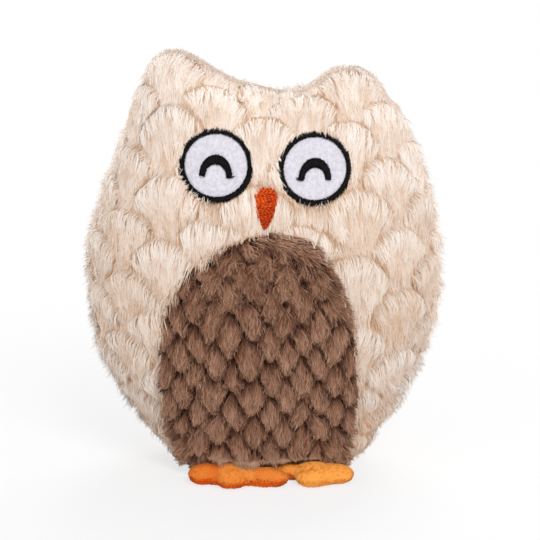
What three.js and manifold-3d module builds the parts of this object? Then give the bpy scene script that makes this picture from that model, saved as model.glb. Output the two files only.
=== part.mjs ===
// A sitting plush owl, sewn from plush panels over a fibre filling, with felt and stitched eyes.
// Millimetres, +Z up. The beak looks along -Y, and the origin is under the middle of the flat base.
// Left and right are those of someone who looks the owl in the face.

import * as THREE from 'three';
import { mergeVertices } from 'three/addons/utils/BufferGeometryUtils.js';
import Module from 'manifold-3d';

const wasm = await Module();
wasm.setup();

// Body: a pillow whose rim is the side seam
const bodyHalfWidth = 89;
const bodyHeight = 220;
const bodyFrontDepth = 52;
const bodyBackDepth = 48;
const bodyCentreHeightShare = 0.477;
const bodyFullness = 2.4;
const calmWindowShare = 0.1;
const calmPower = 3;
const panelThickness = 5;

// Scallops embossed in the cream pile, laid out on the flat cloth from the middle of the body. Each is an
// arc that stands up from the row above it and falls away downwards.
const scallopSpacing = 48;
const scallopPitch = 17.2;
const scallopHalfWidth = 18;
const scallopDrop = 11.5;
const scallopArcPower = 2.3;
const scallopTilt = 0.08;
const scallopTop = 20;
const scallopOffset = -1.5;
const scallopLow = 0.2;
const scallopCrest = 3.8;
const scallopRise = 3;
const scallopFall = 27;
const scallopTailShare = 0.22;
const scallopSideLoss = 0.3;
const scallopRoot = 2.5;
const scallopBorderDepth = 1.2;
const scallopBorderShare = 0.93;
const scallopTrimReach = 9;

// Seams and the clearance that keeps sewn pieces apart
const seamThickness = 1;
const seamRecess = 1;
const clearance = 0.3;

// Face: its turn and its place beside the middle
const faceTiltDegrees = -2;
const faceOffset = 0.9;

// Base panel
const baseThickness = 4.2;
const baseEdgeInset = 4.5;
const baseShoulderShare = 0.9;

// Eyes: the felt disc lies inside the stitched ring, in one pocket pressed into the pile
const eyeRingDiameter = 37;
const eyeRingStroke = 2.6;
const eyeRingCrown = 0.9;
const eyeBridge = 12.5;
const eyeHeightShare = 0.754;
const feltSink = 0.4;
const feltThickness = 1.6;

// Smiling arcs stitched on the felt
const arcHalfWidth = 6.8;
const arcRise = 8.4;
const arcTopStroke = 4.8;
const arcEndStroke = 2.9;
const arcThickness = 1.1;
const arcDrop = 5.2;

// Beak
const beakHalfWidth = 6;
const beakHeight = 20.5;
const beakCrown = 1.2;
const beakHeightShare = 0.6655;
const beakBacking = 2;

// Feet: flat three-toed cushions that hang on the base seam by a thin tongue
const feetSpan = 87;
const footLength = 23.5;
const footHalfDepth = 5.3;
const footFlat = 0.5;
const footFabric = 1.4;
const tongueHalfThickness = 1.2;
const tongueReach = 5;
const tongueCurveSteps = 5;

// Facets and steps
const halvings = 24;
const bodySectors = 64;
const bodyRings = 8;
const liningSectors = 48;
const liningRings = 6;
const toeSectors = 14;
const toeRings = 6;
const toeLiningSectors = 10;
const toeLiningRings = 4;
const eyeSectors = 28;
const discRings = 2;
const arcSteps = 12;
const baseSectors = 48;
const baseEdgeSteps = 3;
const bellySteps = 40;
const scallopColumns = 6;
const scallopSteps = 4;
const clothSteps = 32;

// One overrun for every cutter that has to pass right through
const overrun = 2 * bodyHeight;

// Rim of the body as shares of the half width and the height, from the base's middle round the left side.
// The points below the floor only guide the curve of the lower edge, which the base cuts off.
const bodyRimShares = [
  [0, -0.1], [-0.22, -0.092], [-0.41, -0.05], [-0.525, 0.023], [-0.645, 0.082], [-0.775, 0.159],
  [-0.908, 0.25], [-0.982, 0.364], [-1, 0.477], [-0.988, 0.545], [-0.918, 0.645], [-0.832, 0.741],
  [-0.76, 0.832], [-0.698, 0.905], [-0.645, 0.958], [-0.56, 0.987], [-0.438, 0.982], [-0.27, 0.942],
  [-0.105, 0.909], [0.075, 0.889], [0.21, 0.895], [0.325, 0.924], [0.425, 0.946], [0.53, 0.95],
  [0.625, 0.929], [0.69, 0.893], [0.758, 0.849], [0.825, 0.796], [0.88, 0.734], [0.937, 0.659],
  [0.978, 0.582], [1, 0.505], [0.993, 0.418], [0.965, 0.345], [0.895, 0.259], [0.797, 0.168],
  [0.668, 0.091], [0.55, 0.023], [0.42, -0.05], [0.22, -0.092],
];

// Outline of the brown belly patch, as shares of the half width and the height
const bellyShares = [
  [0.018, 0.604], [-0.14, 0.59], [-0.335, 0.547], [-0.46, 0.495], [-0.54, 0.45], [-0.588, 0.405],
  [-0.594, 0.32], [-0.588, 0.225], [-0.562, 0.14], [-0.5, 0.062], [-0.46, 0.01], [-0.44, -0.03],
  [0.42, -0.03], [0.45, 0.01], [0.485, 0.062], [0.53, 0.13], [0.552, 0.225], [0.53, 0.3], [0.537, 0.37],
  [0.5, 0.44], [0.44, 0.53], [0.305, 0.578], [0.17, 0.598],
];

// Beak outline from its top round the left side, as shares of its half width and its height
const beakShares = [
  [0, 0.5], [-0.55, 0.48], [-0.86, 0.36], [-1, 0.19], [-0.86, 0.02], [-0.66, -0.16], [-0.46, -0.33],
  [-0.2, -0.48], [0, -0.5], [0.18, -0.48], [0.44, -0.33], [0.66, -0.16], [0.88, 0.02], [1, 0.19],
  [0.9, 0.36], [0.55, 0.48],
];

// Pads of each foot, the palm first and then its toes from the outer one inwards. Middle and half width are
// shares of the span of both feet, forward and half length are shares of the foot's length, and the last
// value is the share of the foot's depth. The right foot's inner toe lies behind the left foot's inner toe.
// The tongue runs from one share of the span to another.
const feetShares = {
  left: {
    pads: [
      [-0.195, 0.38, 0.195, 0.43, 1], [-0.355, 0.37, 0.103, 0.33, 0.9],
      [-0.19, 0.64, 0.109, 0.36, 0.96], [0.023, 0.62, 0.138, 0.225, 0.9],
    ],
    tongue: [-0.375, -0.045],
  },
  right: {
    pads: [
      [0.322, 0.38, 0.161, 0.41, 1], [0.44, 0.36, 0.098, 0.32, 0.9],
      [0.285, 0.56, 0.103, 0.31, 0.96], [0.13, 0.182, 0.142, 0.172, 0.76],
    ],
    tongue: [0.05, 0.455],
  },
};

const cream = { color: 0xe6d3c0, roughness: 0.95, metalness: 0 };
const brown = { color: 0x7a5a48, roughness: 0.95, metalness: 0 };
const orange = { color: 0xf58a2c, roughness: 0.9, metalness: 0 };
const feltWhite = { color: 0xe8e5ee, roughness: 0.95, metalness: 0 };
const threadBlack = { color: 0x171616, roughness: 0.6, metalness: 0 };
const threadOrange = { color: 0xd2541e, roughness: 0.6, metalness: 0 };
const fibreWhite = { color: 0xf2f2f0, roughness: 1, metalness: 0 };

// Surfaces made of loops

// A closed skin over loops of equally many points, with a pole at each end or joined end to end.
function skin(loops, startPole, endPole) {
  const sides = loops[0].length;
  const points = loops.flat();
  const faces = [];
  const joined = startPole === undefined;
  const strips = joined ? loops.length : loops.length - 1;
  for (let i = 0; i < strips; i += 1) {
    const here = i * sides;
    const next = ((i + 1) % loops.length) * sides;
    for (let j = 0; j < sides; j += 1) {
      const k = (j + 1) % sides;
      faces.push([here + j, next + j, next + k], [here + j, next + k, here + k]);
    }
  }
  if (!joined) {
    const last = (loops.length - 1) * sides;
    points.push(startPole, endPole);
    for (let j = 0; j < sides; j += 1) {
      const k = (j + 1) % sides;
      faces.push([points.length - 2, j, k], [points.length - 1, last + k, last + j]);
    }
  }
  return facedOutwards(points, faces);
}

// Turns every face over if the skin holds a negative volume.
function facedOutwards(points, faces) {
  let volume = 0;
  const normal = new THREE.Vector3();
  for (const [a, b, c] of faces) {
    volume += points[a].dot(normal.crossVectors(points[b], points[c]));
  }
  const ordered = volume < 0 ? faces.map(([a, b, c]) => [a, c, b]) : faces;
  const geometry = new THREE.BufferGeometry();
  geometry.setAttribute('position', new THREE.Float32BufferAttribute(points.flatMap((p) => p.toArray()), 3));
  geometry.setIndex(ordered.flat());
  return geometry;
}

// Solids that join and cut

function toSolid(geometry) {
  const plain = geometry.clone();
  plain.deleteAttribute('normal');
  plain.deleteAttribute('uv');
  const merged = mergeVertices(plain);
  return new wasm.Manifold(new wasm.Mesh({
    numProp: 3,
    vertProperties: new Float32Array(merged.attributes.position.array),
    triVerts: new Uint32Array(merged.index.array),
  }));
}

function toGeometry(solid) {
  const { vertProperties, triVerts } = solid.getMesh();
  const geometry = new THREE.BufferGeometry();
  geometry.setAttribute('position', new THREE.Float32BufferAttribute(vertProperties, 3));
  geometry.setIndex(Array.from(triVerts));
  return geometry;
}

// Everything between two planes along Y and two along Z, which reaches past the owl where none is given.
function slab({ fromY = -overrun, toY = overrun, fromZ = -overrun, toZ = overrun }) {
  const geometry = new THREE.BoxGeometry(2 * overrun, toY - fromY, toZ - fromZ);
  geometry.translate(0, (fromY + toY) / 2, (fromZ + toZ) / 2);
  return toSolid(geometry);
}

// Outlines

// Evenly spaced points of one smooth closed curve through the given points.
function smoothLoop(points, count) {
  const curve = new THREE.CatmullRomCurve3(points.map(([u, w]) => new THREE.Vector3(u, w, 0)), true);
  return curve.getSpacedPoints(count).slice(0, count);
}

function scaled(shares, width, height) {
  return shares.map(([u, w]) => [u * width, w * height]);
}

// The same outline moved outwards by a distance, along the normal at each of its points.
function offsetLoop(loop, outwards) {
  const distance = Math.sign(THREE.ShapeUtils.area(loop)) * outwards;
  return loop.map((point, i) => {
    const before = loop[(i + loop.length - 1) % loop.length];
    const after = loop[(i + 1) % loop.length];
    const heading = after.clone().sub(before).normalize();
    return new THREE.Vector3(point.x + heading.y * distance, point.y - heading.x * distance, 0);
  });
}

// The distance from a centre to a rim in the direction of a point.
function rimDistance(rim, centre, towards) {
  const ray = towards.clone().sub(centre).normalize();
  for (let i = 0; i < rim.length; i += 1) {
    const a = rim[i].clone().sub(centre);
    const b = rim[(i + 1) % rim.length].clone().sub(centre);
    const edge = b.clone().sub(a);
    const across = ray.x * edge.y - ray.y * edge.x;
    const reach = (a.x * edge.y - a.y * edge.x) / across;
    const share = (a.x * ray.y - a.y * ray.x) / across;
    if (reach > 0 && share >= 0 && share < 1) {
      return reach;
    }
  }
  return rim[0].distanceTo(centre);
}

// Body

const bodyCentre = new THREE.Vector3(0, bodyCentreHeightShare * bodyHeight, 0);
const bodyOutline = scaled(bodyRimShares, bodyHalfWidth, bodyHeight);
const bodyRim = smoothLoop(bodyOutline, bodySectors);
const liningRim = smoothLoop(bodyOutline, liningSectors);

// How far a stuffed panel stands up at a share of the way from its middle to its rim, as a share.
function swell(share) {
  return Math.sqrt(1 - Math.min(share, 1) ** bodyFullness);
}

// The rim with its ears evened out, which the body follows towards its middle.
function calmLoop(rim) {
  const spokes = rim.map((point) => point.clone().sub(bodyCentre));
  const reach = Math.round(rim.length * calmWindowShare);
  return spokes.map((spoke, i) => {
    let sum = 0;
    for (let j = i - reach; j <= i + reach; j += 1) {
      sum += spokes[(j + rim.length) % rim.length].length();
    }
    return spoke.clone().setLength(sum / (2 * reach + 1)).add(bodyCentre);
  });
}

// A place at a share of the way from the middle to the rim, over the calm loop near the middle.
function along(calm, rim, share) {
  return bodyCentre.clone().lerp(calm.clone().lerp(rim, share ** calmPower), share);
}

// The stuffed body between its rim and its two domes; an inset makes its lining or its filling.
function bodyPillow(fullRim, rings, inset) {
  const rim = offsetLoop(fullRim, -inset);
  const calm = calmLoop(rim);
  const loopAt = (share, depth) => rim.map((edge, i) => {
    const point = along(calm[i], edge, share);
    return new THREE.Vector3(point.x, -depth * swell(share), point.y);
  });
  const shares = Array.from({ length: rings }, (_, i) => Math.sin((i + 1) * Math.PI / (2 * rings)));
  const front = shares.map((share) => loopAt(share, bodyFrontDepth - inset));
  const back = shares.slice(0, -1).reverse().map((share) => loopAt(share, inset - bodyBackDepth));
  return toSolid(skin(
    [...front, ...back],
    new THREE.Vector3(bodyCentre.x, inset - bodyFrontDepth, bodyCentre.y),
    new THREE.Vector3(bodyCentre.x, bodyBackDepth - inset, bodyCentre.y),
  ));
}

const bodyCalm = calmLoop(bodyRim);

// How far the body's surface stands in front of the side seam at a place across and up.
function frontDepth(across, up) {
  const point = new THREE.Vector3(across, up, 0);
  const distance = point.distanceTo(bodyCentre);
  const edge = rimDistance(bodyRim, bodyCentre, point);
  const calm = rimDistance(bodyCalm, bodyCentre, point);
  let low = 0;
  let high = 1;
  for (let i = 0; i < halvings; i += 1) {
    const share = (low + high) / 2;
    const reached = share * (calm + (edge - calm) * share ** calmPower);
    [low, high] = reached < distance ? [share, high] : [low, share];
  }
  return bodyFrontDepth * swell(low);
}

function backDepth(across, up) {
  return frontDepth(across, up) * bodyBackDepth / bodyFrontDepth;
}

const seamBottom = baseThickness + clearance;
const seamTop = seamBottom + seamThickness;
const panelBottom = seamTop + clearance;
const seamSide = seamThickness / 2;
const panelSide = seamSide + clearance;

const bodyOuter = bodyPillow(bodyRim, bodyRings, 0);
const bodyLining = bodyPillow(liningRim, liningRings, panelThickness);
const bodySkin = bodyOuter.subtract(bodyLining);
const seamSkin = bodyPillow(bodyRim, bodyRings, seamRecess).subtract(bodyLining);

// The belly patch and its seam are cut by prisms that run through the front of the body.
const bellyRim = smoothLoop(scaled(bellyShares, bodyHalfWidth, bodyHeight), bellySteps);

function bellyPrism(outwards) {
  const shape = new THREE.Shape(offsetLoop(bellyRim, outwards).map((p) => new THREE.Vector2(p.x, p.y)));
  const geometry = new THREE.ExtrudeGeometry(shape, { depth: overrun, bevelEnabled: false });
  geometry.rotateX(Math.PI / 2);
  return toSolid(geometry);
}

const frontSide = slab({ toY: -panelSide, fromZ: panelBottom });
const frontSkin = bodySkin.intersect(frontSide);
const bellyPanel = frontSkin.intersect(bellyPrism(-panelSide));
const bellySeam = seamSkin.intersect(frontSide)
  .intersect(bellyPrism(seamSide))
  .subtract(bellyPrism(-seamSide));
const backSide = slab({ fromY: panelSide, fromZ: panelBottom });
const sideSeam = seamSkin.intersect(slab({ fromY: -seamSide, toY: seamSide, fromZ: panelBottom }));
const baseSeam = seamSkin.intersect(slab({ fromZ: seamBottom, toZ: seamTop }));
const bodyFill = bodyPillow(liningRim, liningRings, panelThickness + clearance)
  .intersect(slab({ fromZ: seamBottom }));

// Base panel: the body's section at its lower edge, rounded in to the flat that the owl stands on

// Where the rim crosses a height, on the left side for -1 and on the right side for 1.
function widthAt(up, side) {
  const crossings = bodyRim.flatMap((a, i) => {
    const b = bodyRim[(i + 1) % bodyRim.length];
    return (a.y - up) * (b.y - up) < 0 ? [a.x + (b.x - a.x) * (up - a.y) / (b.y - a.y)] : [];
  });
  return crossings.find((across) => Math.sign(across) === side);
}

// The body's section at a height, drawn in by an inset and laid at another height.
function sectionLoop(up, inset, height) {
  const left = widthAt(up, -1);
  const right = widthAt(up, 1);
  const middle = (left + right) / 2;
  const half = (right - left) / 2;
  return Array.from({ length: baseSectors }, (_, i) => {
    const angle = i * 2 * Math.PI / baseSectors;
    const across = middle + half * Math.cos(angle);
    const depth = Math.sin(angle) > 0 ? frontDepth(across, up) : backDepth(across, up);
    const point = new THREE.Vector3(across - middle, -Math.sign(Math.sin(angle)) * depth, 0);
    point.setLength(point.length() - inset);
    return new THREE.Vector3(middle + point.x, point.y, height);
  });
}

const baseLoops = [sectionLoop(panelBottom, seamRecess, baseThickness)];
for (let i = 0; i <= baseEdgeSteps; i += 1) {
  const turn = i * Math.PI / (2 * baseEdgeSteps);
  baseLoops.push(sectionLoop(
    panelBottom,
    baseEdgeInset * (1 - Math.cos(turn)),
    baseThickness * baseShoulderShare * (1 - Math.sin(turn)),
  ));
}
const basePanel = skin(baseLoops, new THREE.Vector3(0, 0, baseThickness), new THREE.Vector3());

// Trim that is draped over the front of the body

const faceTilt = THREE.MathUtils.degToRad(faceTiltDegrees);

// Gives places on the face: across and up lie in the surface at a centre, lift stands off it.
function drape(centreAcross, centreUp) {
  const step = seamThickness;
  const here = frontDepth(centreAcross, centreUp);
  const slopeAcross = (frontDepth(centreAcross + step, centreUp) - here) / step;
  const slopeUp = (frontDepth(centreAcross, centreUp + step) - here) / step;
  return (across, up, lift) => {
    const turnedAcross = across * Math.cos(faceTilt) - up * Math.sin(faceTilt);
    const turnedUp = across * Math.sin(faceTilt) + up * Math.cos(faceTilt);
    const x = centreAcross + turnedAcross / Math.hypot(1, slopeAcross);
    const z = centreUp + turnedUp / Math.hypot(1, slopeUp);
    return new THREE.Vector3(x, -frontDepth(x, z) - lift, z);
  };
}

// Shares of the way from the middle of a patch to its outline, evenly spaced up to a last one.
function ringShares(rings, last) {
  return Array.from({ length: rings }, (_, i) => last * (i + 1) / rings);
}

// A closed patch on the face inside an outline, with a top that may be crowned.
function patch(place, outline, shares, topLift, bottomLift) {
  const loopAt = (share, lift) => outline.map((p) => place(p.x * share, p.y * share, lift));
  const top = shares.map((share) => loopAt(share, topLift(share)));
  const bottom = [...shares].reverse().map((share) => loopAt(share, bottomLift));
  return skin([...top, ...bottom], place(0, 0, topLift(0)), place(0, 0, bottomLift));
}

// Section points of a stitched band: flat under, rounded on top.
const bandSectionShares = [[-1, 0], [-0.9, 0.6], [-0.5, 0.95], [0, 1], [0.5, 0.95], [0.9, 0.6], [1, 0]];

function bandLoop(place, point, normal, stroke, bottomLift, topLift) {
  return bandSectionShares.map(([side, rise]) => place(
    point.x + normal.x * side * stroke / 2,
    point.y + normal.y * side * stroke / 2,
    bottomLift + (topLift - bottomLift) * rise,
  ));
}

function circle(radius, count) {
  return Array.from({ length: count }, (_, i) => {
    const angle = i * 2 * Math.PI / count;
    return new THREE.Vector3(radius * Math.cos(angle), radius * Math.sin(angle), 0);
  });
}

const discRadius = eyeRingDiameter / 2 - eyeRingStroke - clearance;
const pocketRadius = eyeRingDiameter / 2 + clearance;
const feltBottom = -feltSink - feltThickness;

function eyeRing(place) {
  const middle = (eyeRingDiameter - eyeRingStroke) / 2;
  const loops = circle(middle, eyeSectors).map((point) => bandLoop(
    place,
    point,
    point.clone().normalize(),
    eyeRingStroke,
    feltBottom,
    eyeRingCrown,
  ));
  return skin(loops);
}

function eyeDisc(place) {
  return patch(place, circle(discRadius, eyeSectors), ringShares(discRings, 1), () => -feltSink, feltBottom);
}

// The pocket in the pile has its rings under those of the disc, so that the felt lies on it evenly.
function eyePocket(place) {
  const shares = [...ringShares(discRings, discRadius / pocketRadius), 1];
  return patch(place, circle(pocketRadius, eyeSectors), shares, () => panelThickness, feltBottom - clearance);
}

// The arc is half an ellipse whose stroke narrows to its ends.
function eyeArc(place) {
  const bottom = clearance - feltSink;
  const loops = [];
  for (let i = 0; i <= arcSteps; i += 1) {
    const angle = i * Math.PI / arcSteps;
    const across = Math.cos(angle);
    const upwards = Math.sin(angle);
    const point = new THREE.Vector3(arcHalfWidth * across, arcRise * upwards - arcDrop, 0);
    const normal = new THREE.Vector3(arcRise * across, arcHalfWidth * upwards, 0).normalize();
    const stroke = arcEndStroke + (arcTopStroke - arcEndStroke) * upwards ** 2;
    loops.push(bandLoop(place, point, normal, stroke, bottom, bottom + arcThickness));
  }
  const middleLift = bottom + arcThickness / 2;
  return skin(
    loops,
    place(arcHalfWidth, -arcDrop - clearance, middleLift),
    place(-arcHalfWidth, -arcDrop - clearance, middleLift),
  );
}

const eyeSpacing = eyeRingDiameter + eyeBridge;
const eyes = {};
const eyeCentres = [];
for (const [name, side] of [['left', -1], ['right', 1]]) {
  const across = faceOffset + side * eyeSpacing / 2 * Math.cos(faceTilt);
  const up = eyeHeightShare * bodyHeight + side * eyeSpacing / 2 * Math.sin(faceTilt);
  const place = drape(across, up);
  eyeCentres.push({
    centre: new THREE.Vector3(across, 0, up),
    halfAcross: eyeRingDiameter / 2,
    halfUp: eyeRingDiameter / 2,
  });
  eyes[name] = {
    disc: eyeDisc(place),
    ring: eyeRing(place),
    arc: eyeArc(place),
    pocket: toSolid(eyePocket(place)),
  };
}

const placeBeak = drape(faceOffset, beakHeightShare * bodyHeight);
const beakCentre = {
  centre: new THREE.Vector3(faceOffset, 0, beakHeightShare * bodyHeight),
  halfAcross: beakHalfWidth,
  halfUp: beakHeight / 2,
};
const beakOutline = scaled(beakShares, beakHalfWidth, beakHeight).map(([u, w]) => new THREE.Vector3(u, w, 0));
const beakRingShares = ringShares(discRings, 1);
const beakLift = (share) => beakCrown * Math.sqrt(1 - share ** 2);
const beak = patch(placeBeak, beakOutline, beakRingShares, beakLift, -beakBacking);
const beakPocketRim = offsetLoop(beakOutline, clearance);
const beakPocketFloor = -beakBacking - clearance;
const beakPocket = patch(placeBeak, beakPocketRim, beakRingShares, () => panelThickness, beakPocketFloor);

// Scalloped pile on the front and the back

// The body's profile in one direction from its middle, with the length of cloth to each stop.
function clothProfile(towards, side) {
  const edge = rimDistance(bodyRim, bodyCentre, towards);
  const calm = rimDistance(bodyCalm, bodyCentre, towards);
  const depth = side < 0 ? bodyFrontDepth : bodyBackDepth;
  const stops = [{ out: 0, rise: depth, length: 0 }];
  for (let i = 1; i <= clothSteps; i += 1) {
    const share = Math.sin(i * Math.PI / (2 * clothSteps));
    const out = share * (calm + (edge - calm) * share ** calmPower);
    const rise = depth * swell(share);
    const last = stops[i - 1];
    stops.push({ out, rise, length: last.length + Math.hypot(out - last.out, rise - last.rise) });
  }
  return stops;
}

// A point of the flat cloth as a place on the body, with its share of the cloth to the side seam.
function clothPlace(point, side) {
  const stops = clothProfile(point.clone().add(bodyCentre), side);
  const whole = stops[clothSteps].length;
  const reach = Math.min(point.length(), whole);
  const after = Math.max(stops.findIndex((stop) => stop.length >= reach), 1);
  const [a, b] = [stops[after - 1], stops[after]];
  const way = (reach - a.length) / (b.length - a.length);
  const ray = point.clone().setLength(a.out + (b.out - a.out) * way).add(bodyCentre);
  return {
    place: new THREE.Vector3(ray.x, side * (a.rise + (b.rise - a.rise) * way), ray.y),
    share: point.length() / whole,
  };
}

// How high the pile stands at a column and a step of the scallops, which are numbered down from the top row.
function scallopHeight(column, step) {
  const down = step / scallopSteps;
  const first = Math.floor(down);
  for (const row of [first, first - 1, first - 2]) {
    const lattice = column / scallopColumns - Math.abs(row % 2) / 2;
    const share = Math.abs(lattice - Math.round(lattice)) * scallopSpacing / scallopHalfWidth;
    const inside = (down - row) * scallopPitch - scallopDrop * share ** scallopArcPower;
    if ((share < 1 && inside > 0) || row === first - 2) {
      const rise = THREE.MathUtils.smoothstep(inside, 0, scallopRise);
      const fall = 1 - (1 - scallopTailShare) * THREE.MathUtils.clamp(inside / scallopFall, 0, 1);
      const sides = 1 - scallopSideLoss * Math.min(share, 1) ** 2;
      return scallopLow + scallopCrest * rise * fall * sides;
    }
  }
  return scallopLow;
}

// The pile lies flat next to the face and dives under the skin before it reaches the side seam.
function trimmedHeight(height, { place, share }) {
  const gaps = place.y > 0 ? [] : [...eyeCentres, beakCentre].map(({ centre, halfAcross, halfUp }) => {
    const away = Math.hypot((place.x - centre.x) / halfAcross, (place.z - centre.z) / halfUp);
    return (away - 1) * halfAcross;
  });
  const free = THREE.MathUtils.smoothstep(Math.min(scallopTrimReach, ...gaps), 0, scallopTrimReach);
  const border = THREE.MathUtils.smoothstep(share, scallopBorderShare, 1);
  const open = scallopLow + (height - scallopLow) * free;
  return open - (open + scallopBorderDepth) * border;
}

function scallopedPile(side) {
  const columnWidth = scallopSpacing / scallopColumns;
  const stepHeight = scallopPitch / scallopSteps;
  const wholes = bodyRim.map((point) => clothProfile(point, side)[clothSteps].length);
  const columns = Math.ceil(Math.max(...wholes) / columnWidth) + 1;
  const steps = Math.ceil((Math.max(...wholes) * (1 + scallopTilt) + scallopTop) / stepHeight) + 1;
  const at = (column, step) => new THREE.Vector3(
    scallopOffset + column * columnWidth,
    scallopTop - scallopTilt * column * columnWidth - step * stepHeight,
    0,
  );
  const corners = new Map();
  const points = [];
  const corner = (column, step) => {
    const key = `${column} ${step}`;
    if (!corners.has(key)) {
      const point = at(column, step);
      const spot = clothPlace(point, side);
      const [right, left, above, below] = [[1, 0], [-1, 0], [0, 1], [0, -1]].map(([u, v]) => (
        clothPlace(point.clone().addScaledVector(new THREE.Vector3(u, v, 0), seamThickness), side).place
      ));
      const normal = right.sub(left).cross(above.sub(below)).setLength(-side);
      const height = trimmedHeight(scallopHeight(column, step), spot);
      corners.set(key, { share: spot.share, index: points.length });
      points.push(
        spot.place.clone().addScaledVector(normal, height),
        spot.place.clone().addScaledVector(normal, -scallopRoot),
      );
    }
    return corners.get(key);
  };
  const holds = (column, step) => (
    [[0, 0], [1, 0], [1, 1], [0, 1]].every(([i, j]) => corner(column + i, step + j).share < 1)
  );
  const faces = [];
  const quad = (a, b, c, d) => faces.push([a, b, c], [a, c, d]);
  for (let i = -columns; i < columns; i += 1) {
    for (let j = -steps; j < steps; j += 1) {
      if (holds(i, j)) {
        const [a, b, c, d] = [[0, 0], [0, 1], [1, 1], [1, 0]].map(([m, n]) => corner(i + m, j + n).index);
        quad(a, b, c, d);
        quad(d + 1, c + 1, b + 1, a + 1);
        for (const [beside, below, from, to] of [[-1, 0, b, a], [1, 0, d, c], [0, -1, a, d], [0, 1, c, b]]) {
          if (!holds(i + beside, j + below)) {
            quad(from, to, to + 1, from + 1);
          }
        }
      }
    }
  }
  return toSolid(facedOutwards(points, faces));
}

const frontPanel = frontSkin
  .add(scallopedPile(-1).intersect(frontSide))
  .subtract(bellyPrism(panelSide))
  .subtract(eyes.left.pocket)
  .subtract(eyes.right.pocket)
  .subtract(toSolid(beakPocket));
const backPanel = bodySkin.intersect(backSide).add(scallopedPile(1).intersect(backSide));

// Feet: in their own frame the hinge is the X axis and the toes point along -Y

const sectionFront = Math.max(...sectionLoop(panelBottom, 0, 0).map((p) => -p.y));
const hingeY = -(sectionFront + clearance + tongueHalfThickness);
const hingeZ = (seamBottom + seamTop) / 2;
const floorZ = -hingeZ;
const footMiddleZ = floorZ + footHalfDepth - footFlat;

function ellipsoid(across, forward, up, halfAcross, halfForward, halfUp, sectors, rings) {
  const geometry = new THREE.SphereGeometry(1, sectors, rings);
  geometry.rotateX(Math.PI / 2);
  geometry.scale(halfAcross, halfForward, halfUp);
  geometry.translate(across, -forward, up);
  return toSolid(geometry);
}

// The stuffed shape of a foot's pads, less an inset for its lining or its filling, cut off at a height.
function footPads(pads, inset, sectors, rings) {
  const solids = pads.map(([across, forward, halfAcross, halfForward, depth]) => ellipsoid(
    across * feetSpan,
    forward * footLength,
    footMiddleZ,
    halfAcross * feetSpan - inset,
    halfForward * footLength - inset,
    depth * footHalfDepth - inset,
    sectors,
    rings,
  ));
  return solids.reduce((whole, pad) => whole.add(pad)).intersect(slab({ fromZ: floorZ + inset }));
}

// The flat edge of the fabric that is caught in the base seam, rounded about the hinge.
function footTongue([from, to]) {
  const profile = new THREE.Shape();
  profile.absarc(0, 0, tongueHalfThickness, -Math.PI / 2, Math.PI / 2, false);
  profile.lineTo(-tongueReach, tongueHalfThickness);
  profile.lineTo(-tongueReach, -tongueHalfThickness);
  const geometry = new THREE.ExtrudeGeometry(profile, {
    depth: (to - from) * feetSpan,
    bevelEnabled: false,
    curveSegments: tongueCurveSteps,
  });
  const axes = [new THREE.Vector3(0, 1, 0), new THREE.Vector3(0, 0, 1), new THREE.Vector3(1, 0, 0)];
  geometry.applyMatrix4(new THREE.Matrix4().makeBasis(...axes));
  geometry.translate(from * feetSpan, 0, 0);
  return toSolid(geometry);
}

function footPieces({ pads, tongue }) {
  const lining = footPads(pads, footFabric, toeLiningSectors, toeLiningRings);
  const outer = footPads(pads, 0, toeSectors, toeRings).add(footTongue(tongue));
  const fabric = outer.subtract(lining);
  return {
    top: fabric.intersect(slab({ fromZ: footMiddleZ + clearance / 2 })),
    sole: fabric.intersect(slab({ toZ: footMiddleZ - clearance / 2 })),
    fill: footPads(pads, footFabric + clearance, toeLiningSectors, toeLiningRings),
  };
}

// Assembly

function piece(name, shape, look) {
  const geometry = shape.isBufferGeometry ? shape : toGeometry(shape);
  geometry.computeVertexNormals();
  const mesh = new THREE.Mesh(geometry, new THREE.MeshStandardMaterial(look));
  mesh.name = name;
  return mesh;
}

const owl = new THREE.Group();
owl.add(
  piece('front_panel', frontPanel, cream),
  piece('back_panel', backPanel, cream),
  piece('belly_panel', bellyPanel, brown),
  piece('base_panel', basePanel, cream),
  piece('side_seam', sideSeam, cream),
  piece('belly_seam', bellySeam, brown),
  piece('base_seam', baseSeam, cream),
  piece('body_fill', bodyFill, fibreWhite),
  piece('beak', beak, threadOrange),
);
for (const [name, eye] of Object.entries(eyes)) {
  owl.add(
    piece(`eye_disc_${name}`, eye.disc, feltWhite),
    piece(`eye_ring_${name}`, eye.ring, threadBlack),
    piece(`eye_arc_${name}`, eye.arc, threadBlack),
  );
}
for (const [name, shares] of Object.entries(feetShares)) {
  const foot = new THREE.Group();
  const { top, sole, fill } = footPieces(shares);
  foot.position.set(0, hingeY, hingeZ);
  foot.add(
    piece(`foot_${name}_top`, top, orange),
    piece(`foot_${name}_sole`, sole, orange),
    piece(`foot_${name}_fill`, fill, fibreWhite),
  );
  owl.add(foot);
}

export default owl;
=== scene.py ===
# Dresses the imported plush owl: cream pile in scallops, a fleecy brown belly, felt and thread, soft feet.
# Lengths are in millimetres until a mesh is made, then in metres. +Z is up and the beak looks along -Y.
import math

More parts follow.
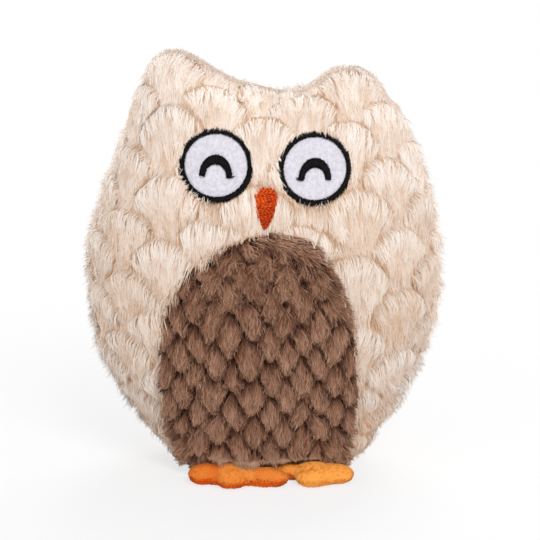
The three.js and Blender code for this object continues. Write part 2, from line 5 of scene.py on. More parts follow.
import bpy
import numpy as np
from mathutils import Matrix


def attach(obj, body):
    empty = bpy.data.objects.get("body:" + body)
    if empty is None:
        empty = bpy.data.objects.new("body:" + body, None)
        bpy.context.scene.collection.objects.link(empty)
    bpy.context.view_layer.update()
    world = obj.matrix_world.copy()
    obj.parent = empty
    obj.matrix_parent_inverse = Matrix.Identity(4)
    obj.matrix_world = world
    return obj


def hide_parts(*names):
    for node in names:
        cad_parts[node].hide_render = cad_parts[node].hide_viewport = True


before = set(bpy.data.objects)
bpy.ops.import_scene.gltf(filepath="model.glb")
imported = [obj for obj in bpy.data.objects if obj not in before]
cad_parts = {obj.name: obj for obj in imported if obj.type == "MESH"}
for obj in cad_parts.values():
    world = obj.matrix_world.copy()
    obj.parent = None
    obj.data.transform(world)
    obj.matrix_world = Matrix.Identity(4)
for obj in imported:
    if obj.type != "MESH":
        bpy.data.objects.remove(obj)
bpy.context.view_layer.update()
scene = bpy.context.scene
print("frame loaded")


# Small helpers.

def hexToLinear(text):
    values = [int(text[i:i + 2], 16) / 255 for i in (1, 3, 5)]
    return [v / 12.92 if v <= 0.04045 else ((v + 0.055) / 1.055) ** 2.4 for v in values] + [1.0]


def makeMesh(name, points, faceSets, corners=None, normals=None):
    # Each face set is an array with one face per row; corners are the u and v of every face corner.
    mesh = bpy.data.meshes.new(name)
    loops = np.concatenate([faces.ravel() for faces in faceSets]).astype(np.int32)
    totals = np.concatenate([np.full(len(faces), faces.shape[1]) for faces in faceSets])
    starts = np.concatenate([[0], np.cumsum(totals)[:-1]]).astype(np.int32)
    mesh.vertices.add(len(points))
    mesh.vertices.foreach_set("co", (np.asarray(points) / 1000).astype(np.float32).ravel())
    mesh.loops.add(len(loops))
    mesh.loops.foreach_set("vertex_index", loops)
    mesh.polygons.add(len(totals))
    mesh.polygons.foreach_set("loop_start", starts)
    mesh.polygons.foreach_set("use_smooth", np.ones(len(totals), bool))
    if corners is not None:
        layer = mesh.uv_layers.new(name="OFBake")
        layer.data.foreach_set("uv", np.asarray(corners, np.float32).ravel())
    mesh.update(calc_edges=True)
    if normals is not None:
        mesh.normals_split_custom_set_from_vertices(np.asarray(normals, np.float32))
    piece = bpy.data.objects.new(name, mesh)
    scene.collection.objects.link(piece)
    return piece


def finishPiece(piece, material, body, replaced=()):
    piece.data.materials.append(material)
    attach(piece, body)
    if replaced:
        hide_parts(*replaced)
    return piece


def unit(vectors):
    return vectors / np.maximum(np.linalg.norm(vectors, axis=-1, keepdims=True), 1e-9)


def smooth(value, low, high):
    share = np.clip((value - low) / (high - low), 0, 1)
    return share * share * (3 - 2 * share)


def mixed(a, b, share):
    return a + (b - a) * share


farAway = 1e9  # further than any gap on the owl


# Lengths along a line from its first point to each of its points.
def lengthsAlong(line):
    return np.concatenate([[0], np.cumsum(np.linalg.norm(np.diff(line, axis=0), axis=1))])


# Each pattern of chance has its own salt.
salts = {
    "creamSize": 21, "brownSize": 22, "creamHumps": 31, "brownHumps": 32, "creamSway": 43, "creamCell": 61,
    "creamTone": 62, "fringeTone": 63, "brownCell": 81, "felt": 91, "feltFibres": 92, "base": 94,
    "crease": 95, "footDents": 96, "footComb": 97, "footTone": 99,
}


# The same number from 0 to 1 each time for one row, column and salt.
def chosen(row, column, salt):
    return np.modf(np.abs(np.sin(row * 127.1 + column * 311.7 + salt * 74.7)) * 43758.5453)[0]


# Soft noise from -1 to 1 over a plane, with humps of a given size.
def humps(u, v, size, salt):
    i, j = np.floor(u / size), np.floor(v / size)
    f, g = smooth(u / size - i, 0, 1), smooth(v / size - j, 0, 1)
    low = mixed(chosen(i, j, salt), chosen(i + 1, j, salt), f)
    high = mixed(chosen(i, j + 1, salt), chosen(i + 1, j + 1, salt), f)
    return 2 * mixed(low, high, g) - 1


# The sewn body under the pile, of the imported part's form. Only the belly's edge differs: on the right it lies
# up to 5 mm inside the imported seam, because there the cream pile covers the seam.

bodyForm = {
    "halfWidth": 89, "height": 220, "frontDepth": 52, "backDepth": 48,
    "centreShare": 0.477, "fullness": 2.4, "calmWindow": 0.1, "calmPower": 3,
    "rimSteps": 512, "bellySteps": 160, "turns": 480, "steps": 180, "profileSteps": 700, "profileEase": 0.8,
    "halvings": 26, "baseTop": 5.8,
    "rim": [
        [0, -0.1], [-0.22, -0.092], [-0.41, -0.05], [-0.525, 0.023], [-0.645, 0.082], [-0.775, 0.159],
        [-0.908, 0.25], [-0.982, 0.364], [-1, 0.477], [-0.988, 0.545], [-0.918, 0.645], [-0.832, 0.741],
        [-0.76, 0.832], [-0.698, 0.905], [-0.645, 0.958], [-0.56, 0.987], [-0.438, 0.982], [-0.27, 0.942],
        [-0.105, 0.909], [0.075, 0.889], [0.21, 0.895], [0.325, 0.924], [0.425, 0.946], [0.53, 0.95],
        [0.625, 0.929], [0.69, 0.893], [0.758, 0.849], [0.825, 0.796], [0.88, 0.734], [0.937, 0.659],
        [0.978, 0.582], [1, 0.505], [0.993, 0.418], [0.965, 0.345], [0.895, 0.259], [0.797, 0.168],
        [0.668, 0.091], [0.55, 0.023], [0.42, -0.05], [0.22, -0.092],
    ],
    "belly": [
        [0.018, 0.604], [-0.14, 0.59], [-0.345, 0.55], [-0.46, 0.495], [-0.53, 0.45], [-0.57, 0.4],
        [-0.588, 0.32], [-0.584, 0.225], [-0.555, 0.14], [-0.485, 0.068], [-0.45, 0.01], [-0.43, -0.03],
        [0.41, -0.03], [0.432, 0.01], [0.46, 0.068], [0.5, 0.13], [0.528, 0.225], [0.515, 0.3],
        [0.502, 0.37], [0.452, 0.44], [0.388, 0.503], [0.335, 0.545], [0.245, 0.583], [0.14, 0.6],
    ],
}
bodyCentre = np.array([0, bodyForm["centreShare"] * bodyForm["height"]])


# Evenly spaced points of a smooth closed curve through the given ones.
def closedCurve(points, count, between=16):
    points = np.asarray(points, float)
    before, after, beyond = np.roll(points, 1, 0), np.roll(points, -1, 0), np.roll(points, -2, 0)
    t = np.linspace(0, 1, between, endpoint=False)[None, :, None]
    a, b, c, d = (p[:, None, :] for p in (before, points, after, beyond))
    bend, turn = 2 * a - 5 * b + 4 * c - d, 3 * b - a - 3 * c + d
    dense = (0.5 * (2 * b + (c - a) * t + bend * t ** 2 + turn * t ** 3)).reshape(-1, 2)
    ring = np.vstack([dense, dense[:1]])
    reach = lengthsAlong(ring)
    places = np.linspace(0, reach[-1], count, endpoint=False)
    return np.stack([np.interp(places, reach, ring[:, k]) for k in (0, 1)], -1)


sizes = np.array([bodyForm["halfWidth"], bodyForm["height"]])
bodyRim = closedCurve(np.array(bodyForm["rim"]) * sizes, bodyForm["rimSteps"])
bellyRim = closedCurve(np.array(bodyForm["belly"]) * sizes, bodyForm["bellySteps"])

spokes = bodyRim - bodyCentre
spokeLengths = np.linalg.norm(spokes, axis=1)
window = int(bodyForm["rimSteps"] * bodyForm["calmWindow"])
around = np.arange(len(spokes))[:, None] + np.arange(-window, window + 1)[None]
calmLengths = spokeLengths[around % len(spokes)].mean(1)
turns = np.linspace(-math.pi, math.pi, bodyForm["turns"] + 1)
spokeTurns = np.arctan2(spokes[:, 1], spokes[:, 0])
order = np.argsort(spokeTurns)
rimReach = np.interp(turns, spokeTurns[order], spokeLengths[order], period=2 * math.pi)
calmReach = np.interp(turns, spokeTurns[order], calmLengths[order], period=2 * math.pi)


# One half of the body as a grid: turns about the middle by even steps along the cloth to the side seam.
def makeSide(depth, facing):
    share = np.linspace(0, 1, bodyForm["profileSteps"]) ** bodyForm["profileEase"]
    even = np.linspace(0, 1, bodyForm["steps"])
    places = np.zeros((len(turns), len(even), 3))
    rimLengths = np.zeros(len(turns))
    for i, turn in enumerate(turns):
        reach = share * (calmReach[i] + (rimReach[i] - calmReach[i]) * share ** bodyForm["calmPower"])
        rise = depth * np.sqrt(1 - share ** bodyForm["fullness"])
        length = np.concatenate([[0], np.cumsum(np.hypot(np.diff(reach), np.diff(rise)))])
        rimLengths[i] = length[-1]
        r = np.interp(even * length[-1], length, reach)
        h = np.interp(even * length[-1], length, rise)
        places[i] = np.stack([r * math.cos(turn), facing * h, bodyCentre[1] + r * math.sin(turn)], -1)
    alongTurn = np.empty_like(places)
    alongTurn[1:-1] = places[2:] - places[:-2]
    alongTurn[0] = alongTurn[-1] = places[1] - places[-2]
    normals = np.cross(alongTurn, np.gradient(places, axis=1)) * facing
    normals[:, 0] = [0, facing, 0]
    normals = unit(normals)
    return {"places": places, "normals": normals, "rimLengths": rimLengths, "depth": depth, "facing": facing}


front = makeSide(bodyForm["frontDepth"], -1)
back = makeSide(bodyForm["backDepth"], 1)


# The length of cloth from the middle to the side seam in the direction of a place.
def clothReach(side, u, v):
    at = (np.arctan2(v, u) + math.pi) / (2 * math.pi) * bodyForm["turns"]
    return np.interp(at, np.arange(len(turns)), side["rimLengths"])


# Places and normals on the body for places u across and v up on the flat cloth, from its middle.
def onBody(side, u, v):
    at = (np.arctan2(v, u) + math.pi) / (2 * math.pi) * bodyForm["turns"]
    i = np.clip(np.floor(at).astype(int), 0, bodyForm["turns"] - 1)
    f = (at - i)[..., None]
    step = np.hypot(u, v) / clothReach(side, u, v) * (bodyForm["steps"] - 1)
    j = np.clip(np.floor(step).astype(int), 0, bodyForm["steps"] - 2)
    g = (step - j)[..., None]
    found = []
    for grid, share in ((side["places"], g), (side["normals"], np.clip(g, 0, 1))):
        near, far = mixed(grid[i, j], grid[i + 1, j], f), mixed(grid[i, j + 1], grid[i + 1, j + 1], f)
        found.append(mixed(near, far, share))
    return found[0], unit(found[1])


# How far the body stands in front of the side seam at a place across and up.
def frontDepth(x, z):
    turn = np.arctan2(z - bodyCentre[1], x)
    distance = np.hypot(x, z - bodyCentre[1])
    edge = np.interp(turn, turns, rimReach)
    calm = np.interp(turn, turns, calmReach)
    low, high = np.zeros_like(distance), np.ones_like(distance)
    for _ in range(bodyForm["halvings"]):
        share = (low + high) / 2
        reached = share * (calm + (edge - calm) * share ** bodyForm["calmPower"])
        low, high = np.where(reached < distance, share, low), np.where(reached < distance, high, share)
    return bodyForm["frontDepth"] * np.sqrt(1 - low ** bodyForm["fullness"])


# The place on the flat cloth of a place across and up on the front.
def clothPlace(x, z):
    up = z - bodyCentre[1]
    turn = math.atan2(up, x)
    i = int(round((turn + math.pi) / (2 * math.pi) * bodyForm["turns"]))
    reach = np.hypot(front["places"][i, :, 0], front["places"][i, :, 2] - bodyCentre[1])
    length = np.interp(math.hypot(x, up), reach, np.linspace(0, front["rimLengths"][i], bodyForm["steps"]))
    return np.array([length * math.cos(turn), length * math.sin(turn)])


def insideRim(x, z, rim):
    inside = np.zeros(np.shape(x), bool)
    for (ax, az), (bx, bz) in zip(rim, np.roll(rim, -1, 0)):
        if az != bz:
            inside ^= ((az > z) != (bz > z)) & (x < (bx - ax) * (z - az) / (bz - az) + ax)
    return inside


def rimGap(x, z, rim):
    gap = np.full(np.shape(x), farAway)
    for px, pz in rim:
        gap = np.minimum(gap, np.hypot(x - px, z - pz))
    return gap


# Where the face sits.

faceForm = {
    "tilt": math.radians(-2), "offset": 0.9, "eyeRing": 37, "eyeStroke": 2.6, "eyeBridge": 12.5,
    "eyeHeightShare": 0.754, "beakHeightShare": 0.6655, "slopeStep": 1, "beakReach": 24,
}


# Gives places on the face: across and up lie in the surface at a centre, lift stands off it.
def drape(centreX, centreZ):
    step = faceForm["slopeStep"]
    here, beside, above = frontDepth(
        np.array([centreX, centreX + step, centreX]), np.array([centreZ, centreZ, centreZ + step]))
    slopeX, slopeZ = (beside - here) / step, (above - here) / step
    turnCos, turnSin = math.cos(faceForm["tilt"]), math.sin(faceForm["tilt"])

    def place(across, up, lift):
        x = centreX + (across * turnCos - up * turnSin) / math.hypot(1, slopeX)
        z = centreZ + (across * turnSin + up * turnCos) / math.hypot(1, slopeZ)
        return np.stack([x, -frontDepth(x, z) - lift, z], -1)

    return place


eyePlaces, eyeCentres = {}, {}
halfSpacing = (faceForm["eyeRing"] + faceForm["eyeBridge"]) / 2
eyeHeight = faceForm["eyeHeightShare"] * bodyForm["height"]
for name, direction in (("left", -1), ("right", 1)):
    centreX = faceForm["offset"] + direction * halfSpacing * math.cos(faceForm["tilt"])
    eyePlaces[name] = drape(centreX, eyeHeight + direction * halfSpacing * math.sin(faceForm["tilt"]))
    eyeCentres[name] = eyePlaces[name](np.zeros(1), np.zeros(1), 0)[0]


# Beak: a fill of short stitches in rows, each drawn down at both ends, over a padded core.
beakForm = {
    "halfWidth": 6.0, "height": 20.5, "crown": 1.1, "low": -2.2, "row": 0.44, "stitch": 1.9, "thread": 0.52,
    "rise": 0.42, "wander": 0.22, "waver": 0.07, "uneven": 0.06, "rag": 0.35, "steps": 120, "rings": 20,
    "innermost": 0.002, "outermost": 0.98, "crownReach": 3.2, "coreUnder": 0.25, "firstRow": 0.2,
    "jitter": 0.25, "shortest": 0.35, "along": [0, 0.12, 0.5, 0.88, 1.0],
    "rises": [-0.9, 0.35, 0.6, 0.35, -0.9], "widths": [0.8, 1.0, 1.0, 0.8], "shares": [0.8, 1.15],
    "tone": 0.5, "paintedLightTilt": 0.03, "toneSpread": 0.24, "roll": 0.3,
    "outline": [
        [0, 0.5], [-0.55, 0.48], [-0.86, 0.36], [-1, 0.19], [-0.86, 0.02], [-0.66, -0.16], [-0.46, -0.33],
        [-0.2, -0.48], [0, -0.5], [0.18, -0.48], [0.44, -0.33], [0.66, -0.16], [0.88, 0.02], [1, 0.19],
        [0.9, 0.36], [0.55, 0.48],
    ],
}
beakPlace = drape(faceForm["offset"], faceForm["beakHeightShare"] * bodyForm["height"])
beakCentre = beakPlace(np.zeros(1), np.zeros(1), 0)[0]
beakOutline = closedCurve(
    np.array(beakForm["outline"]) * [beakForm["halfWidth"], beakForm["height"]], beakForm["steps"])
beakRim = beakPlace(beakOutline[:, 0], beakOutline[:, 1], 0)[:, [0, 2]]


# How far a place on the body lies outside the nearest trim on the face; below zero is under it.
def trimGap(place):
    gap = np.full(place.shape[:-1], farAway)
    for centre in eyeCentres.values():
        gap = np.minimum(gap, np.linalg.norm(place - centre, axis=-1) - faceForm["eyeRing"] / 2)
    near = np.linalg.norm(place - beakCentre, axis=-1) < faceForm["beakReach"]
    x, z = place[near][:, 0], place[near][:, 2]
    gap[near] = np.minimum(gap[near], rimGap(x, z, beakRim) * np.where(insideRim(x, z, beakRim), -1, 1))
    return gap


# Pile patterns pressed into the cloth.

# Cream scallops: arcs 48 mm apart in rows of 17.2 mm, each row shifted by half, tilted a little.
scallops = {
    "spacing": 48, "pitch": 17.2, "halfWidth": 18, "drop": 11.5, "tilt": 0.08, "phase": 20.0, "shift": -1.5,
    "direction": 1, "warp": 2.6, "warpSize": 24, "jitterAcross": 3.0, "jitterUp": 2.2, "salt": 3, "arch": 2.3,
}
# Brown leaves: pointed tufts 17.5 mm apart in rows of 10.2 mm, each hanging over the next.
leaves = {
    "spacing": 17.5, "pitch": 10.2, "halfWidth": 9.2, "drop": 17, "tilt": 0.03, "phase": 4.0, "shift": 2.0,
    "direction": -1, "warp": 2.4, "warpSize": 17, "jitterAcross": 2.4, "jitterUp": 2.4, "salt": 9,
    "tipRound": 0.03, "tipCut": 0.17,
}


# For places on the cloth: their cell of a pattern, how far inside its edge and how far off the next they are.
def cellsOf(u, v, pattern):
    salt = pattern["salt"]
    bent = pattern["warp"] * humps(u, v, pattern["warpSize"], salt)
    u = u + pattern["warp"] * humps(v, u, pattern["warpSize"], salt + 1) - pattern["shift"]
    q = pattern["direction"] * (pattern["phase"] - v - pattern["tilt"] * u - bent) / pattern["pitch"]
    first = np.floor(q)
    found = {key: first * 0 for key in ("row", "column", "across", "inside")}
    found["next"] = np.full(np.shape(q), farAway)
    taken = np.zeros(np.shape(q), bool)
    for back in range(-2, 4):  # rows from well ahead of a place to well behind it
        row = first - back
        parity = np.mod(row, 2) / 2
        column = np.round(u / pattern["spacing"] - parity)
        across = u - (column + parity) * pattern["spacing"]
        across = across + pattern["jitterAcross"] * (2 * chosen(row, column, salt + 2) - 1)
        below = (q - row) * pattern["pitch"] + pattern["jitterUp"] * (2 * chosen(row, column, salt + 3) - 1)
        share = np.abs(across) / pattern["halfWidth"]
        if pattern is scallops:
            top = pattern["drop"] * share ** pattern["arch"]
        else:
            top = pattern["drop"] * (np.sqrt(share ** 2 + pattern["tipRound"]) - pattern["tipCut"])
        holds = (share < 1) & (below > top) & ~taken
        if back >= 2:
            holds = (below > top if back == 2 else np.ones_like(taken)) & ~taken
        for key, value in (("row", row), ("column", column), ("across", across), ("inside", below - top)):
            found[key] = np.where(holds, value, found[key])
        ahead = (share < 1) & (below <= top) & ~taken
        found["next"] = np.where(ahead, np.minimum(found["next"], top - below), found["next"])
        taken |= holds
    return found


creamPile = {
    "low": 0.2, "crest": 4.2, "start": -0.5, "rise": 3.0, "tail": 0.22, "fallLength": 27, "fallEase": 0.9,
    "valleyDrop": 1.5, "valleyReach": 2.9, "smallest": 0.8, "sizeRange": 0.4, "sizeSalt": salts["creamSize"],
    "sides": 0.3, "hump": 0.35, "humpSize": 7, "humpSalt": salts["creamHumps"],
    "earShare": 0.5, "ears": [185, 210], "trimLow": 0.5, "trimReach": 9,
}
brownPile = {
    "low": -0.8, "crest": 4.9, "start": -0.3, "rise": 1.5, "tail": 0.12, "fallLength": 19, "fallEase": 1,
    "valleyDrop": 1.8, "valleyReach": 1.8, "smallest": 0.8, "sizeRange": 0.4, "sizeSalt": salts["brownSize"],
    "sides": 0.15, "hump": 0.5, "humpSize": 4.5, "humpSalt": salts["brownHumps"],
}


# How high a pile stands over the cloth: it rises behind each edge, falls slowly and dips before the next.
def pileHeight(u, v, pattern, pile):
    cell = cellsOf(u, v, pattern)
    inside = np.maximum(cell["inside"], 0)
    rise = smooth(inside, pile["start"], pile["rise"])
    fall = 1 - (1 - pile["tail"]) * np.clip(inside / pile["fallLength"], 0, 1) ** pile["fallEase"]
    size = pile["smallest"] + pile["sizeRange"] * chosen(cell["row"], cell["column"], pile["sizeSalt"])
    sides = 1 - pile["sides"] * np.clip(np.abs(cell["across"]) / pattern["halfWidth"], 0, 1) ** 2
    valley = np.exp(-(cell["next"] / pile["valleyReach"]) ** 2)
    height = pile["low"] + pile["crest"] * rise * fall * size * sides - pile["valleyDrop"] * valley
    return height + pile["hump"] * humps(u, v, pile["humpSize"], pile["humpSalt"])


# The cream pile is lower on the ears, and pressed flat round the face's trim.
def creamTop(u, v, place):
    onEars = smooth(place[..., 2], *creamPile["ears"])
    height = pileHeight(u, v, scallops, creamPile) * (1 - creamPile["earShare"] * onEars)
    pressed = smooth(trimGap(place), 0, creamPile["trimReach"])
    return mixed(np.minimum(height, creamPile["trimLow"]), height, pressed)


def brownTop(u, v, place):
    return pileHeight(u, v, leaves, brownPile)


# Feet: three-toed cushions of fleece, sewn round the edge, drawn in between the toes.
footForm = {
    "span": 87, "length": 23.5, "halfDepth": 5.3, "middle": 4.8, "hingeY": -34.931, "inset": 0.4,
    "soleHeight": 0.45, "around": 28, "levels": 15, "voxel": 0.9, "relaxBy": 0.5, "relax": 24, "relaxLast": 2,
    "pressure": 30.0, "frames": 20, "reach": 0.8, "middleAcross": 2, "reachAcross": 40,
    "top": [-3.5, 0.5], "creaseWaver": 0.3, "creaseWaverSize": 3, "dimpleShare": 1.3, "pucker": 0.35,
    "puckers": 7, "puckerTurn": 1, "puckerReach": 1.4, "seam": 0.45, "seamUnder": 1.2, "seamHalf": 0.5,
    "dents": 0.12, "dentSize": 4,
    "left": [
        [-0.195, 0.38, 0.195, 0.43, 1], [-0.355, 0.37, 0.103, 0.33, 0.9],
        [-0.19, 0.64, 0.109, 0.36, 0.96], [0.023, 0.62, 0.138, 0.225, 0.9],
        [-0.275, 0.44, 0.1, 0.3, 0.9], [-0.085, 0.5, 0.12, 0.3, 0.9],
    ],
    "right": [
        [0.322, 0.38, 0.161, 0.41, 1], [0.44, 0.36, 0.098, 0.32, 0.9],
        [0.285, 0.56, 0.103, 0.31, 0.96], [0.13, 0.182, 0.142, 0.172, 0.76],
        [0.37, 0.42, 0.09, 0.3, 0.9],
    ],
    "creases": {
        # Each crease runs between two places across and forward, with a depth and a half width.
        "left": [[-27, 1, -24, 20, 0.4, 1.8], [-7, 5, -3, 21, 0.3, 1.9]],
        "right": [[17, 3, 19, 12, 0.6, 1.6], [31.5, 2, 32.5, 17, 0.6, 1.6], [14, 10, 30, 14.5, 0.7, 0.8]],
    },
    "dimples": {"left": [], "right": [[21.7, 14.0, 1.5, 2.2]]},
}


# Growing strands.

strandSteps = np.array([0, 0.3, 0.66, 1.0])
strandWidths = np.array([0.9, 1.0, 0.8])
strandSoftness = 0.7
strandForm = {"depth": 0.7, "sideLight": 1.5, "underLight": -0.3}  # depth is a share of the width
strandUvs = {"least": 0.01, "most": 0.95, "band": 0.03, "edge": 0.005}
lockEase = 1.5  # how late along its length a strand bends to its lock
clothSpan = 125  # half of the cloth across, with a margin
reliefStep = 1.2


# A closed tapering strand along each path: three corners at each step and a point at the tip.
def strandMesh(
        name, paths, normals, widths, tones, starts, ends, rolls,
        taper=strandWidths, softness=strandSoftness):
    count, steps = paths.shape[:2]
    tangents = np.gradient(paths, axis=1)
    across = unit(np.cross(tangents, normals))
    outwards = unit(np.cross(across, tangents))
    across, outwards = (
        across * np.cos(rolls)[:, None, None] + outwards * np.sin(rolls)[:, None, None],
        outwards * np.cos(rolls)[:, None, None] - across * np.sin(rolls)[:, None, None],
    )
    half = (widths[:, None] * taper[None] / 2)[..., None]
    rings = paths[:, :-1, None, :] + np.stack([
        across[:, :-1] * half, outwards[:, :-1] * half * strandForm["depth"], -across[:, :-1] * half], 2)
    points = np.concatenate([rings.reshape(count, -1, 3), paths[:, -1:]], 1)
    # Light falls on a strand as on the soft pile round it, so its normals lean towards the cloth's own.
    # A strand with no softness is lit as a round one that stands by itself.
    softness = np.broadcast_to(softness, count)[:, None, None]
    soft = outwards * (1 - softness) + normals * softness
    body, beside = soft[:, :-1], strandForm["sideLight"] * (1 - softness) * across[:, :-1]
    low = body * np.interp(softness, [0, strandSoftness], [strandForm["underLight"], 1])
    shade = np.stack([low + beside, body, low - beside], 2)
    shade = unit(np.concatenate([shade.reshape(count, -1, 3), soft[:, -1:]], 1))
    first = (np.arange(count) * points.shape[1])[:, None, None]
    tip = 3 * (steps - 1)
    quads = np.array([
        [3 * s + 3 + k, 3 * s + 3 + (k + 1) % 3, 3 * s + (k + 1) % 3, 3 * s + k]
        for s in range(steps - 2) for k in range(3)])
    endFaces = np.array([[tip, tip - 3 + (k + 1) % 3, tip - 3 + k] for k in range(3)] + [[0, 1, 2]])
    faceSets = [(first + faces[None]).reshape(-1, faces.shape[1]) for faces in (quads, endFaces)]
    # Across the map lies the strand's own tone, and up it the way from its root to its tip.
    strip = np.concatenate([np.repeat(np.arange(steps - 1) / (steps - 1), 3), [1.0]])
    side = np.concatenate([np.tile([0.0, 0.5, 1.0], steps - 1), [0.5]])
    up = starts[:, None] + (ends - starts)[:, None] * strip[None]
    over = np.clip(tones, strandUvs["least"], strandUvs["most"])[:, None]
    over = over + strandUvs["band"] * side[None]
    corner = np.stack([over, np.clip(up, strandUvs["edge"], 1 - strandUvs["edge"])], -1)
    corners = np.concatenate([corner[:, faces].reshape(-1, 2) for faces in (quads, endFaces)])
    return makeMesh(name, points.reshape(-1, 3), faceSets, corners, shade.reshape(-1, 3))


# Evenly scattered roots on the flat cloth of one side.
def scatter(side, density, low, high, chance):
    step = 1 / math.sqrt(density)
    across = np.arange(-clothSpan, clothSpan, step)
    up = np.arange(low, high, step)
    u, v = (a.ravel() for a in np.meshgrid(across, up))
    u = u + chance.uniform(-0.5, 0.5, len(u)) * step
    v = v + chance.uniform(-0.5, 0.5, len(v)) * step
    keep = np.hypot(u, v) < clothReach(side, u, v) * 1.005  # a hair past the side seam
    return u[keep], v[keep]


# Which way the relief of a pile faces on the cloth, so that each scallop or leaf is lit as a soft hump.
def reliefNormal(side, u, v, top):
    lifted = []
    for across, up in ((0, 0), (reliefStep, 0), (0, reliefStep)):
        on, normal = onBody(side, u + across, v + up)
        lifted.append(on + normal * top(u + across, v + up, on)[:, None])
    return unit(-side["facing"] * np.cross(lifted[1] - lifted[0], lifted[2] - lifted[0]))


bellyEdges = {"brushedAcross": [-22, 4], "brushedUp": [74, 98], "wispyAcross": [12, 30], "wispyUp": [62, 84]}


# Whether places on the front lie over the brown patch, and how far off its edge is.
def overBelly(place):
    x, z = place[..., 0], place[..., 2]
    return insideRim(x, z, bellyRim), rimGap(x, z, bellyRim)


# Along the upper right edge of the belly the brown pile is brushed outwards over the seam.
def brushedShare(place):
    return smooth(place[..., 0], *bellyEdges["brushedAcross"]) * smooth(place[..., 2], *bellyEdges["brushedUp"])


# Along the upper left edge wisps of cream lie over the brown.
def wispyShare(place):
    return smooth(-place[..., 0], *bellyEdges["wispyAcross"]) * smooth(place[..., 2], *bellyEdges["wispyUp"])


# Locks are strands that lie together: they share a turn, a length, a lift and a tone, and draw to one line.
def locksOf(u, v, spec):
    bentU = u + spec["lockWarp"] * humps(u, v, spec["lockWarpSize"], spec["lockSalts"][0])
    bentV = v + spec["lockWarp"] * humps(v, u, spec["lockWarpSize"], spec["lockSalts"][1])
    column = np.round(bentU / spec["lock"])
    row = np.round(bentV / (spec["lockLength"] * spec["lock"]) + 0.5 * np.mod(column, 2))
    keys = ("turn", "size", "lift", "tone")
    locks = {key: chosen(row, column, salt) for key, salt in zip(keys, spec["lockSalts"][2:])}
    locks["toMiddle"] = column * spec["lock"] - bentU
    return locks


def strandLengths(spec, locks, chance):
    least, byLock, byChance = spec["lengthShares"]
    return spec["length"] * (least + byLock * locks["size"] + byChance * chance.random(len(locks["size"])))


# Strands that lie on a relief: for each step, placeAt says where they are on the flat cloth and heightAt how
# high they stand. The relief is that of the pile's top half way along.
def layStrands(side, count, spec, placeAt, heightAt, top):
    paths, normals = np.zeros((2, count, len(strandSteps), 3))
    for k, step in enumerate(strandSteps):
        u, v = placeAt(step)
        on, normals[:, k] = onBody(side, u, v)
        height = spec["rootDepth"] + (heightAt(step, u, v, on) - spec["rootDepth"]) * spec["rises"][k]
        paths[:, k] = on + normals[:, k] * height[:, None]
        if k == 2:
            relief = reliefNormal(side, u, v, top)[:, None]
    return paths, mixed(normals, relief, spec["relief"])


creamStrands = {
    "rows": [-150, 126], "density": 1.5, "backDensity": 1.0, "length": 11.5,
    "lengthShares": [0.8, 0.25, 0.25], "shortest": 2.0, "overlap": 1.6, "width": 0.46,
    "widthShares": [0.75, 0.5], "roll": 0.5, "lock": 2.6, "lockLength": 2.4, "lockWarp": 1.1,
    "lockWarpSize": 5, "lockSalts": [41, 42, 51, 52, 53, 54], "clump": 0.55, "converge": 0.33,
    "lockTurn": 0.2, "turn": 0.12, "sway": 0.18, "swaySize": 30, "strays": 0.03, "strayLength": 15,
    "strayRise": 3.2, "tries": 5, "shorten": 0.72, "partWay": 0.6, "overTrim": [-0.9, -0.7], "underTrim": 1.2,
    "underBase": 1, "brushedBack": 1.0, "overBrown": 0.3, "wisp": 8, "nearFrom": 4, "nearReach": 3.0,
    "nearBend": 1.5, "crestLightStart": 0.75, "nearCalm": 0.7, "nearLift": 0.6, "valleyReach": 4.6,
    "rootDepth": -1.4, "rises": [0, 0.8, 1.0, 0.93], "lowest": -0.6, "lockLift": 0.8, "lockMiddle": 0.4,
    "lift": 0.25, "dip": 2.2, "dipReach": 3, "over": 1.2, "relief": 0.8, "facing": 0.4, "edge": [0.8, 0.97],
    "lowUp": 0.7, "lowReach": [5, 50], "ground": 0.7, "upper": [110, 190], "lower": [20, 60], "tone": 0.4,
    "paintedLightTopTone": 0.2, "paintedShadeLowTone": 0.2, "cellTone": 0.1, "lockTone": 0.17, "lockToneNear": 0.6,
    "humpTone": 0.12, "humpSize": 12, "toneSpread": 0.12, "crestLightTone": 0.1, "valleyRootsAndShadeTone": 0.5,
    "upperValley": 0.15, "rimLightTone": 0.15, "crossTone": 0.2, "crossWidth": 0.62, "endShare": 0.4,
    "endLength": 13, "clearOfTrim": [0.6, 1.5],
}


